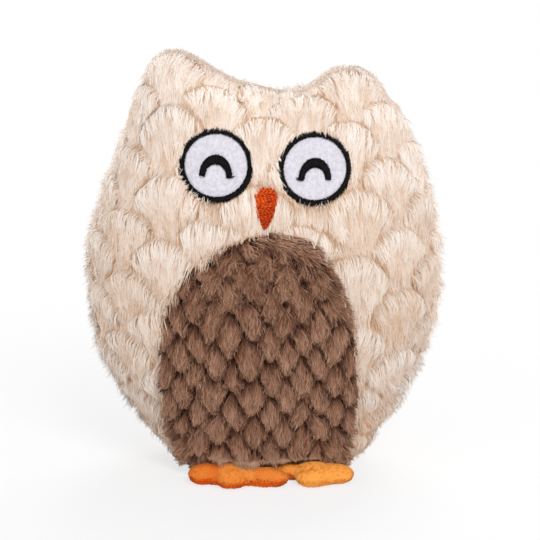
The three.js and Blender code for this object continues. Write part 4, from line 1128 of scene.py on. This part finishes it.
# Cream hairs that cross the lower edge of the stitched rings.
def crossingHairs(name, place, side, chance):
    spec = ringHairs
    count = spec["count"][side]
    turn = np.radians(chance.uniform(*spec["turns"][side], count))[:, None]
    turn = turn + chance.normal(0, spec["wander"], (count, 1)) * strandSteps
    outer = faceForm["eyeRing"] / 2
    begin = outer + chance.uniform(*spec["outside"], (count, 1))
    reach = mixed(begin, outer - chance.uniform(*spec["inside"], (count, 1)), strandSteps)
    lift = np.array(spec["lifts"])[None] + chance.normal(0, spec["uneven"], (count, 1))
    paths = place(reach * np.cos(turn), reach * np.sin(turn), lift)
    return faceStrands(
        name, place, paths, chance.uniform(*spec["widths"], count), chance.uniform(*spec["tones"], count),
        spec["start"], chance.normal(0, spec["roll"], count))


# A few ends of the arc's thread run on past it.
def arcTail(name, place, direction, chance):
    count = eyeForm["tailThreads"]
    end = eyeForm["tailEnd"] + chance.uniform(*eyeForm["tailMore"], (count, 1))
    across = direction * mixed(eyeForm["tailStart"], end, strandSteps)
    up = chance.normal(eyeForm["tailLow"], eyeForm["tailSpread"], (count, 1)) - eyeForm["arcDrop"]
    up = up + eyeForm["tailRise"] * strandSteps ** 2
    return faceStrands(
        name, place, place(across, up, np.array(eyeForm["tailLifts"])[None]),
        chance.uniform(*eyeForm["tailWidths"], count), chance.random(count), 0.0, np.zeros(count))


chance = np.random.default_rng(11)
for name, place in eyePlaces.items():
    finishPiece(feltDisc(f"felt_{name}", place), feltMaterial, "body", [f"eye_disc_{name}"])
    for kind, band in bands.items():
        core = bandCore(f"{kind}_core_{name}", place, band)
        finishPiece(core, blackCoreMaterial, "body", [f"eye_{kind}_{name}"])
        threads = satinThreads(f"{kind}_stitch_{name}", place, band, chance)
        finishPiece(threads, blackThreadMaterial, "body")
    tail = arcTail(f"arc_tail_{name}", place, eyeForm["tailSide"][name], chance)
    finishPiece(tail, blackThreadMaterial, "body")
    hairs = crossingHairs(f"ring_hairs_{name}", place, name, chance)
    finishPiece(hairs, creamPileMaterial, "body")
    hairs.visible_shadow = False
print("eyes stitched")


def beakCrown(across, up):
    share = np.clip(rimGap(across, up, beakOutline) / beakForm["crownReach"], 0, 1)
    return beakForm["crown"] * np.sqrt(1 - (1 - share) ** 2)


def beakPieces(chance):
    spec = beakForm
    shares = np.linspace(spec["innermost"], spec["outermost"], spec["rings"])
    across, up = (beakOutline[:, None, k] * shares[None] for k in (0, 1))
    over = beakPlace(across, up, beakCrown(across, up) - spec["coreUnder"])
    core = thickGrid("beak_core", over, beakPlace(across, up, spec["low"]), True)
    # Rows of single stitches across the beak, each row from edge to edge.
    starts, ends, ups = [], [], []
    for up in np.arange(-spec["height"] / 2 + spec["firstRow"], spec["height"] / 2, spec["row"]):
        crossings = []
        for (ax, az), (bx, bz) in zip(beakOutline, np.roll(beakOutline, -1, 0)):
            if (az > up) != (bz > up):
                crossings.append(ax + (bx - ax) * (up - az) / (bz - az))
        low = min(crossings) - chance.random() * spec["rag"]
        high = max(crossings) + chance.random() * spec["rag"]
        cuts = np.arange(low - chance.random() * spec["stitch"], high, spec["stitch"])
        cuts = np.clip(cuts + chance.uniform(-spec["jitter"], spec["jitter"], len(cuts)), low, high)
        cuts = np.unique(np.concatenate([[low], cuts, [high]]))
        for a, b in zip(cuts[:-1], cuts[1:]):
            if b - a > spec["shortest"]:
                starts.append(a)
                ends.append(b)
                ups.append(up)
    starts, ends, ups = (np.array(values)[:, None] for values in (starts, ends, ups))
    count = len(starts)
    step = np.array(spec["along"])[None]
    across = mixed(starts, ends, step)
    up = ups + chance.normal(0, spec["wander"], (count, 1)) * (step - 0.5) * 2
    up = up + chance.normal(0, spec["waver"], (count, 1))
    lift = beakCrown(across, up) + spec["rise"] * np.array(spec["rises"])[None]
    lift = lift + chance.normal(0, spec["uneven"], (count, 1))
    # Painted light: stitches are painted lighter towards the top and the left of the beak.
    shade = spec["tone"] + spec["paintedLightTilt"] * ups[:, 0] - spec["paintedLightTilt"] * starts[:, 0]
    shade = np.clip(shade + chance.normal(0, spec["toneSpread"], count), 0, 1)
    widths = spec["thread"] * chance.uniform(*spec["shares"], count)
    stitches = faceStrands(
        "beak_stitch", beakPlace, beakPlace(across, up, lift), widths, shade, 0.0,
        chance.normal(0, spec["roll"], count), np.array(spec["widths"]))
    return core, stitches


beakCore, beakStitches = beakPieces(chance)
finishPiece(beakCore, orangeCoreMaterial, "body", ["beak"])
finishPiece(beakStitches, orangeThreadMaterial, "body")
print("beak stitched:", len(beakStitches.data.polygons))


# The oval base on which the owl stands.

baseForm = {
    "bottom": 0.4, "top": 5.0, "inset": 1.2, "roundShare": 0.9, "rise": 2.4, "dents": 0.25, "dentSize": 15,
    "lowest": 0.3, "angles": 120, "rings": 30, "innermost": 0.002, "rimPoints": 100,
}


def baseCushion():
    level = bodyForm["baseTop"]
    points = baseForm["rimPoints"]
    left = np.interp(level, bodyRim[:points, 1], bodyRim[:points, 0])
    right = np.interp(level, bodyRim[:-points:-1, 1], bodyRim[:-points:-1, 0])
    angle = np.linspace(-math.pi, math.pi, baseForm["angles"], endpoint=False)
    x = (left + right) / 2 + (right - left) / 2 * np.cos(angle)
    depth = frontDepth(x, np.full(len(x), level))
    y = np.where(angle < 0, -depth, depth * bodyForm["backDepth"] / bodyForm["frontDepth"])
    rim = np.stack([x, y], -1)
    rim = rim * (1 - baseForm["inset"] / np.linalg.norm(rim, axis=1, keepdims=True))
    shares = np.linspace(baseForm["innermost"], 1, baseForm["rings"])
    flat = rim[:, None] * shares[None, :, None]
    rise = baseForm["rise"] * smooth(shares, baseForm["roundShare"], 1)[None] ** 2
    rise = rise + baseForm["dents"] * humps(flat[..., 0], flat[..., 1], baseForm["dentSize"], salts["base"])
    under = np.concatenate([flat, np.maximum(baseForm["bottom"] + rise, baseForm["lowest"])[..., None]], -1)
    over = np.concatenate([flat, np.full(rise.shape, baseForm["top"])[..., None]], -1)
    return thickGrid("base_plush", over, under, True)


finishPiece(baseCushion(), creamBackingPaintedShadeMaterial, "body", ["base_panel", "base_seam"])
print("base made")


# One modifier with its settings, made part of the mesh.
def applied(piece, kind, settings):
    modifier = piece.modifiers.new(kind.lower(), kind)
    for key, value in settings.items():
        setattr(modifier, key, value)
    mesh = bpy.data.meshes.new_from_object(piece.evaluated_get(bpy.context.evaluated_depsgraph_get()))
    piece.modifiers.clear()
    piece.data = mesh


# The places of a mesh's points, or their normals, one per row.
def meshRows(mesh, key):
    rows = np.empty(len(mesh.vertices) * 3, np.float32)
    mesh.vertices.foreach_get(key, rows)
    return rows.reshape(-1, 3).astype(float)


# The fabric is blown up a little by its filling, but no point moves further than the reach.
def stuffed(piece):
    start = meshRows(piece.data, "co")
    cloth = piece.modifiers.new("cloth", "CLOTH")
    cloth.settings.use_pressure = True
    cloth.settings.uniform_pressure_force = footForm["pressure"]
    cloth.settings.effector_weights.gravity = 0
    for step in range(footForm["frames"] + 1):
        scene.frame_set(step)
    moved = meshRows(piece.evaluated_get(bpy.context.evaluated_depsgraph_get()).data, "co") - start
    piece.modifiers.remove(cloth)
    scene.frame_set(1)
    distance = np.linalg.norm(moved, axis=1, keepdims=True)
    end = start + moved * np.minimum(1, footForm["reach"] / 1000 / np.maximum(distance, 1 / farAway))
    piece.data.vertices.foreach_set("co", end.astype(np.float32).ravel())
    print("stuffed", piece.name, "moved", round(float(distance.mean() * 1000), 2), "mm")


# Round pads, joined into one skin and stuffed.
def footCushion(name, pads):
    points, faces = [], []
    around = footForm["around"]
    angle = np.linspace(0, 2 * math.pi, around, endpoint=False)
    rise = np.linspace(-math.pi / 2, math.pi / 2, footForm["levels"])[1:-1]
    ball = np.stack([
        np.cos(rise)[:, None] * np.cos(angle), np.cos(rise)[:, None] * np.sin(angle),
        np.broadcast_to(np.sin(rise)[:, None], (len(rise), around))], -1).reshape(-1, 3)
    low, high = len(ball), len(ball) + 1
    index = np.arange(low).reshape(len(rise), around)
    beside = np.roll(index, -1, 1)
    quads = np.stack([index[:-1], beside[:-1], beside[1:], index[1:]], -1).reshape(-1, 4)
    caps = np.concatenate([
        np.stack([beside[0], index[0], np.full(around, low)], -1),
        np.stack([index[-1], beside[-1], np.full(around, high)], -1)])
    ball = np.concatenate([ball, [[0, 0, -1], [0, 0, 1]]])
    for across, forward, halfAcross, halfForward, depth in pads:
        centre = np.array([
            across * footForm["span"], footForm["hingeY"] - forward * footForm["length"], footForm["middle"]])
        half = np.array([
            halfAcross * footForm["span"], halfForward * footForm["length"], depth * footForm["halfDepth"]])
        first = len(points) * len(ball)
        points.append(centre + ball * (half - footForm["inset"]))
        faces.append((quads + first, caps + first))
    faceSets = [np.concatenate([pad[k] for pad in faces]) for k in (0, 1)]
    foot = makeMesh(name, np.concatenate(points), faceSets)
    applied(foot, "REMESH", {"mode": "VOXEL", "voxel_size": footForm["voxel"] / 1000})
    applied(foot, "SMOOTH", {"factor": footForm["relaxBy"], "iterations": footForm["relax"]})
    stuffed(foot)
    applied(foot, "SUBSURF", {"levels": 1})
    applied(foot, "SMOOTH", {"factor": footForm["relaxBy"], "iterations": footForm["relaxLast"]})
    return foot


# Creases between the toes, puckers, the sewn edge and the flat sole, as moves of the fabric's points.
def footDetail(foot, side):
    mesh = foot.data
    points, normals = meshRows(mesh, "co") * 1000, meshRows(mesh, "normal")
    top = smooth(points[:, 2], *(footForm["middle"] + over for over in footForm["top"]))
    across, forward = points[:, 0], footForm["hingeY"] - points[:, 1]
    depth = np.zeros(len(points))
    for ax, af, bx, bf, deep, half in footForm["creases"][side]:
        length = math.hypot(bx - ax, bf - af)
        share = np.clip(((across - ax) * (bx - ax) + (forward - af) * (bf - af)) / length ** 2, 0, 1)
        gap = np.hypot(across - ax - share * (bx - ax), forward - af - share * (bf - af))
        waver = humps(across, forward, footForm["creaseWaverSize"], salts["crease"])
        gap = gap + footForm["creaseWaver"] * waver
        depth += deep * np.exp(-(gap / half) ** 2)
    for dx, df, deep, half in footForm["dimples"][side]:
        gap = np.hypot(across - dx, (forward - df) * footForm["dimpleShare"])
        turn = np.arctan2(forward - df, across - dx)
        pucker = footForm["pucker"] * np.cos(footForm["puckers"] * turn + footForm["puckerTurn"])
        pucker = pucker * np.exp(-((gap - half) / (footForm["puckerReach"] * half)) ** 2)
        depth += deep * np.exp(-(gap / half) ** 2) + pucker * smooth(gap, 0, half)
    overSeam = points[:, 2] - footForm["middle"] + footForm["seamUnder"]
    depth = depth * top + footForm["seam"] * np.exp(-(overSeam / footForm["seamHalf"]) ** 2)
    depth = depth + footForm["dents"] * humps(across, forward, footForm["dentSize"], salts["footDents"])
    points = points - normals * depth[:, None]
    points[:, 2] = np.maximum(points[:, 2], footForm["soleHeight"])
    mesh.vertices.foreach_set("co", (points / 1000).astype(np.float32).ravel())
    mesh.update()
    return depth


fleecePile = {
    "density": 7.0, "hair": 1.7, "hairShares": [0.7, 1.2], "width": 0.46, "widthShares": [0.8, 1.2],
    "root": -0.3, "lift": 0.5, "rises": [0, 0.7, 1.0, 1.0], "lowestRoot": 0.9, "ground": 0.3,
    "comb": [0.0, -1.0, -0.45], "sway": 0.5, "swaySize": 5, "spread": 0.28,
    "tone": {"left": 0.44, "right": 1.25}, "clouds": 0.12, "cloudSize": 6, "toneSpread": 0.06, "facingLightTone": 0.3,
    "seamShadeTone": 0.45, "seamHalf": 0.9, "creaseShadeTone": 0.5, "coveredShadeTone": 0.5, "covered": [39, 50],
    "light": [0, -0.3, 0.15], "start": 0.7, "roll": 0.5,
}


def footPile(side, foot, depth, chance):
    mesh, spec = foot.data, fleecePile
    mesh.calc_loop_triangles()
    corners = np.empty(len(mesh.loop_triangles) * 3, np.int32)
    mesh.loop_triangles.foreach_get("vertices", corners)
    corners = corners.reshape(-1, 3)
    points, normals = meshRows(mesh, "co") * 1000, meshRows(mesh, "normal")
    a, b, c = (points[corners[:, k]] for k in range(3))
    area = np.linalg.norm(np.cross(b - a, c - a), axis=1) / 2
    count = min(int(area.sum() * spec["density"]), mostStrands)
    pick = chance.choice(len(corners), count, p=area / area.sum())
    weights = chance.dirichlet([1, 1, 1], count)
    roots, normal, drawn = (
        sum((values[corners[pick, k]].T * weights[:, k]).T for k in range(3))
        for values in (points, normals, depth))
    keep = roots[:, 2] > spec["lowestRoot"]
    roots, normal, drawn = roots[keep], unit(normal)[keep], drawn[keep]
    count = len(roots)
    x, y, z = roots.T
    sway = [humps(a, b, spec["swaySize"], salts["footComb"] + k) for k, (a, b) in enumerate(((x, y), (y, x)))]
    comb = np.array(spec["comb"])[None] + spec["sway"] * np.stack([*sway, np.zeros(count)], -1)
    comb = comb + chance.normal(0, spec["spread"], (count, 3))
    comb = unit(comb - normal * np.sum(comb * normal, 1, keepdims=True))
    length = spec["hair"] * chance.uniform(*spec["hairShares"], count)
    rise = np.array(spec["rises"])[None, :, None] * (spec["lift"] - spec["root"]) + spec["root"]
    step = strandSteps[None, :, None]
    paths = roots[:, None] + comb[:, None] * (length[:, None, None] * step) + normal[:, None] * rise
    paths[..., 2] = np.maximum(paths[..., 2], spec["ground"])
    # The right foot, facing the key lamp, is painted lighter than the left: a lit and a shaded copy of one
    # fleece, as painted light and shade.
    tone = spec["tone"][side] + spec["clouds"] * humps(x, y, spec["cloudSize"], salts["footTone"])
    # Painted light and shade: strands that face up are painted lighter, those that face down darker.
    tone = tone + chance.normal(0, spec["toneSpread"], count) + spec["facingLightTone"] * (normal[:, 2] - 0.3)
    # Painted shade: the seam, the creases and the part under the belly are painted darker, where they keep out
    # the light.
    overSeam = z - footForm["middle"] + footForm["seamUnder"]
    tone = tone - spec["seamShadeTone"] * np.exp(-(overSeam / spec["seamHalf"]) ** 2) - spec["creaseShadeTone"] * drawn
    tone = tone - spec["coveredShadeTone"] * (1 - smooth(-y, *spec["covered"]))
    shade = unit(normal + np.array(spec["light"]))
    return strandMesh(
        f"foot_{side}_pile", paths, np.broadcast_to(shade[:, None], paths.shape),
        spec["width"] * chance.uniform(*spec["widthShares"], count), tone, np.full(count, spec["start"]),
        np.ones(count), chance.normal(0, spec["roll"], count), softness=1)


# Hand stitches that close the left foot, on its front edge; each is x and z of its start and of its end.
footStitches = {
    "ends": [
        [-3.2, 5.6, -2.4, 4.7], [-1.6, 5.5, -1.2, 4.2], [0.2, 5.2, 0.5, 4.2], [1.8, 5.4, 1.9, 4.3],
        [3.0, 4.4, 4.3, 4.2],
    ],
    "lifts": [0.1, 0.85, 0.85, 0.1], "width": 0.45, "tone": 0.5, "from": -0.1,
}


def stitchFoot(name, foot):
    ends = np.array(footStitches["ends"])
    x, z = (mixed(ends[:, k, None], ends[:, k + 2, None], strandSteps[None]) for k in (0, 1))
    paths = np.zeros((len(ends), len(strandSteps), 3))
    for i, j in np.ndindex(x.shape):
        _, spot, facing, _ = foot.ray_cast((x[i, j] / 1000, footStitches["from"], z[i, j] / 1000), (0, 1, 0))
        paths[i, j] = np.array(spot) * 1000 + np.array(facing) * footStitches["lifts"][j]
    none = np.zeros(len(ends))
    return strandMesh(
        name, paths, np.broadcast_to([0, -1.0, 0], paths.shape), none + footStitches["width"],
        none + footStitches["tone"], none, none + 1, none)


chance = np.random.default_rng(17)
for side in ("left", "right"):
    foot = footCushion(f"foot_{side}_fleece", footForm[side])
    depth = footDetail(foot, side)
    finishPiece(foot, fleeceMaterial, f"foot_{side}", [
        f"foot_{side}_top", f"foot_{side}_sole", f"foot_{side}_fill"])
    pile = footPile(side, foot, depth, chance)
    finishPiece(pile, fleecePileMaterial, f"foot_{side}")
    pile.visible_shadow = False
    if side == "left":
        stitches = stitchFoot("foot_left_stitches", foot)
        finishPiece(stitches, orangeThreadMaterial, "foot_left")
print("feet made")


# Studio.

studio = {
    "aim": (0.0031, -0.010, 0.105), "elevation": math.radians(14), "distance": 1.1, "lens": 141.0,
    "sensor": 36, "lampAim": (0, 0, 0.1), "roomLight": 0.42, "floorHalf": 6000,
    "paper": (0.86, 0.855, 0.86, 1),
    "shadow": {"From Min": 0.08, "From Max": 0.4, "To Min": 0.7, "To Max": 1.0},
}
lamps = {
    "key": {"place": (0.45, -1.1, 1.15), "size": 0.7, "power": 14.0},
    "fill": {"place": (-1.0, -1.0, 0.6), "size": 1.2, "power": 4.0},
    "back": {"place": (0.3, 1.0, 1.2), "size": 1.0, "power": 12.0},
}

camera = bpy.data.objects.new("camera", bpy.data.cameras.new("camera"))
scene.collection.objects.link(camera)
camera.data.lens = studio["lens"]
camera.data.sensor_width = studio["sensor"]
camera.location = (
    studio["aim"][0],
    studio["aim"][1] - studio["distance"] * math.cos(studio["elevation"]),
    studio["aim"][2] + studio["distance"] * math.sin(studio["elevation"]),
)
camera.rotation_euler = (math.pi / 2 - studio["elevation"], 0, 0)
scene.camera = camera

for name, form in lamps.items():
    lamp = bpy.data.lights.new(name, "AREA")
    lamp.shape = "DISK"
    lamp.size = form["size"]
    lamp.energy = form["power"]
    holder = bpy.data.objects.new(name, lamp)
    scene.collection.objects.link(holder)
    holder.location = form["place"]
    x, y, z = (aim - at for aim, at in zip(studio["lampAim"], form["place"]))
    holder.rotation_euler = (math.atan2(math.hypot(x, y), -z), 0, math.atan2(y, x) - math.pi / 2)


# One for rays from the camera or off and through shiny surfaces, and nothing for the light on the object.
def seenDirectly(tree):
    path = addNode(tree, "ShaderNodeLightPath")
    seen = addNode(tree, "ShaderNodeMath", {"operation": "MAXIMUM"}, [
        (0, path, "Is Camera Ray"), (1, path, "Is Glossy Ray")])
    return addNode(tree, "ShaderNodeMath", {"operation": "MAXIMUM"}, [
        (0, seen, 0), (1, path, "Is Transmission Ray")])


world = bpy.data.worlds.new("pale room")
scene.world = world
world.use_nodes = True
tree = world.node_tree
tree.nodes.clear()
strength = addNode(
    tree, "ShaderNodeMapRange", {"To Min": studio["roomLight"], "To Max": 1.0},
    [("Value", seenDirectly(tree), 0)])
sky = addNode(tree, "ShaderNodeBackground", {"Color": (1, 1, 1, 1)}, [("Strength", strength, 0)])
addNode(tree, "ShaderNodeOutputWorld", {}, [("Surface", sky, 0)])

half = studio["floorHalf"]
floor = makeMesh(
    "floor", np.array([[-half, -half, 0], [half, -half, 0], [half, half, 0], [-half, half, 0]]),
    [np.array([[0, 1, 2, 3]])])
floorMaterial, tree = newMaterial("white paper sweep")
paper = addNode(tree, "ShaderNodeBsdfDiffuse", {"Color": studio["paper"]})
glow = addNode(tree, "ShaderNodeEmission", {"Color": (1, 1, 1, 1), "Strength": 1.0})
place = addNode(tree, "ShaderNodeNewGeometry")
away = addNode(tree, "ShaderNodeVectorMath", {"operation": "LENGTH"}, [(0, place, "Position")])
# The sweep is white from 0.4 m out and keeps the soft shadow close to the owl.
share = addNode(tree, "ShaderNodeMapRange", studio["shadow"], [("Value", away, "Value")])
seen = addNode(tree, "ShaderNodeMath", {"operation": "MULTIPLY"}, [(0, share, 0), (1, seenDirectly(tree), 0)])
blend = addNode(tree, "ShaderNodeMixShader", {}, [(0, seen, 0), (1, paper, 0), (2, glow, 0)])
addNode(tree, "ShaderNodeOutputMaterial", {}, [("Surface", blend, 0)])
floor.data.materials.append(floorMaterial)
scene.view_settings.view_transform = "Standard"
print("studio set")
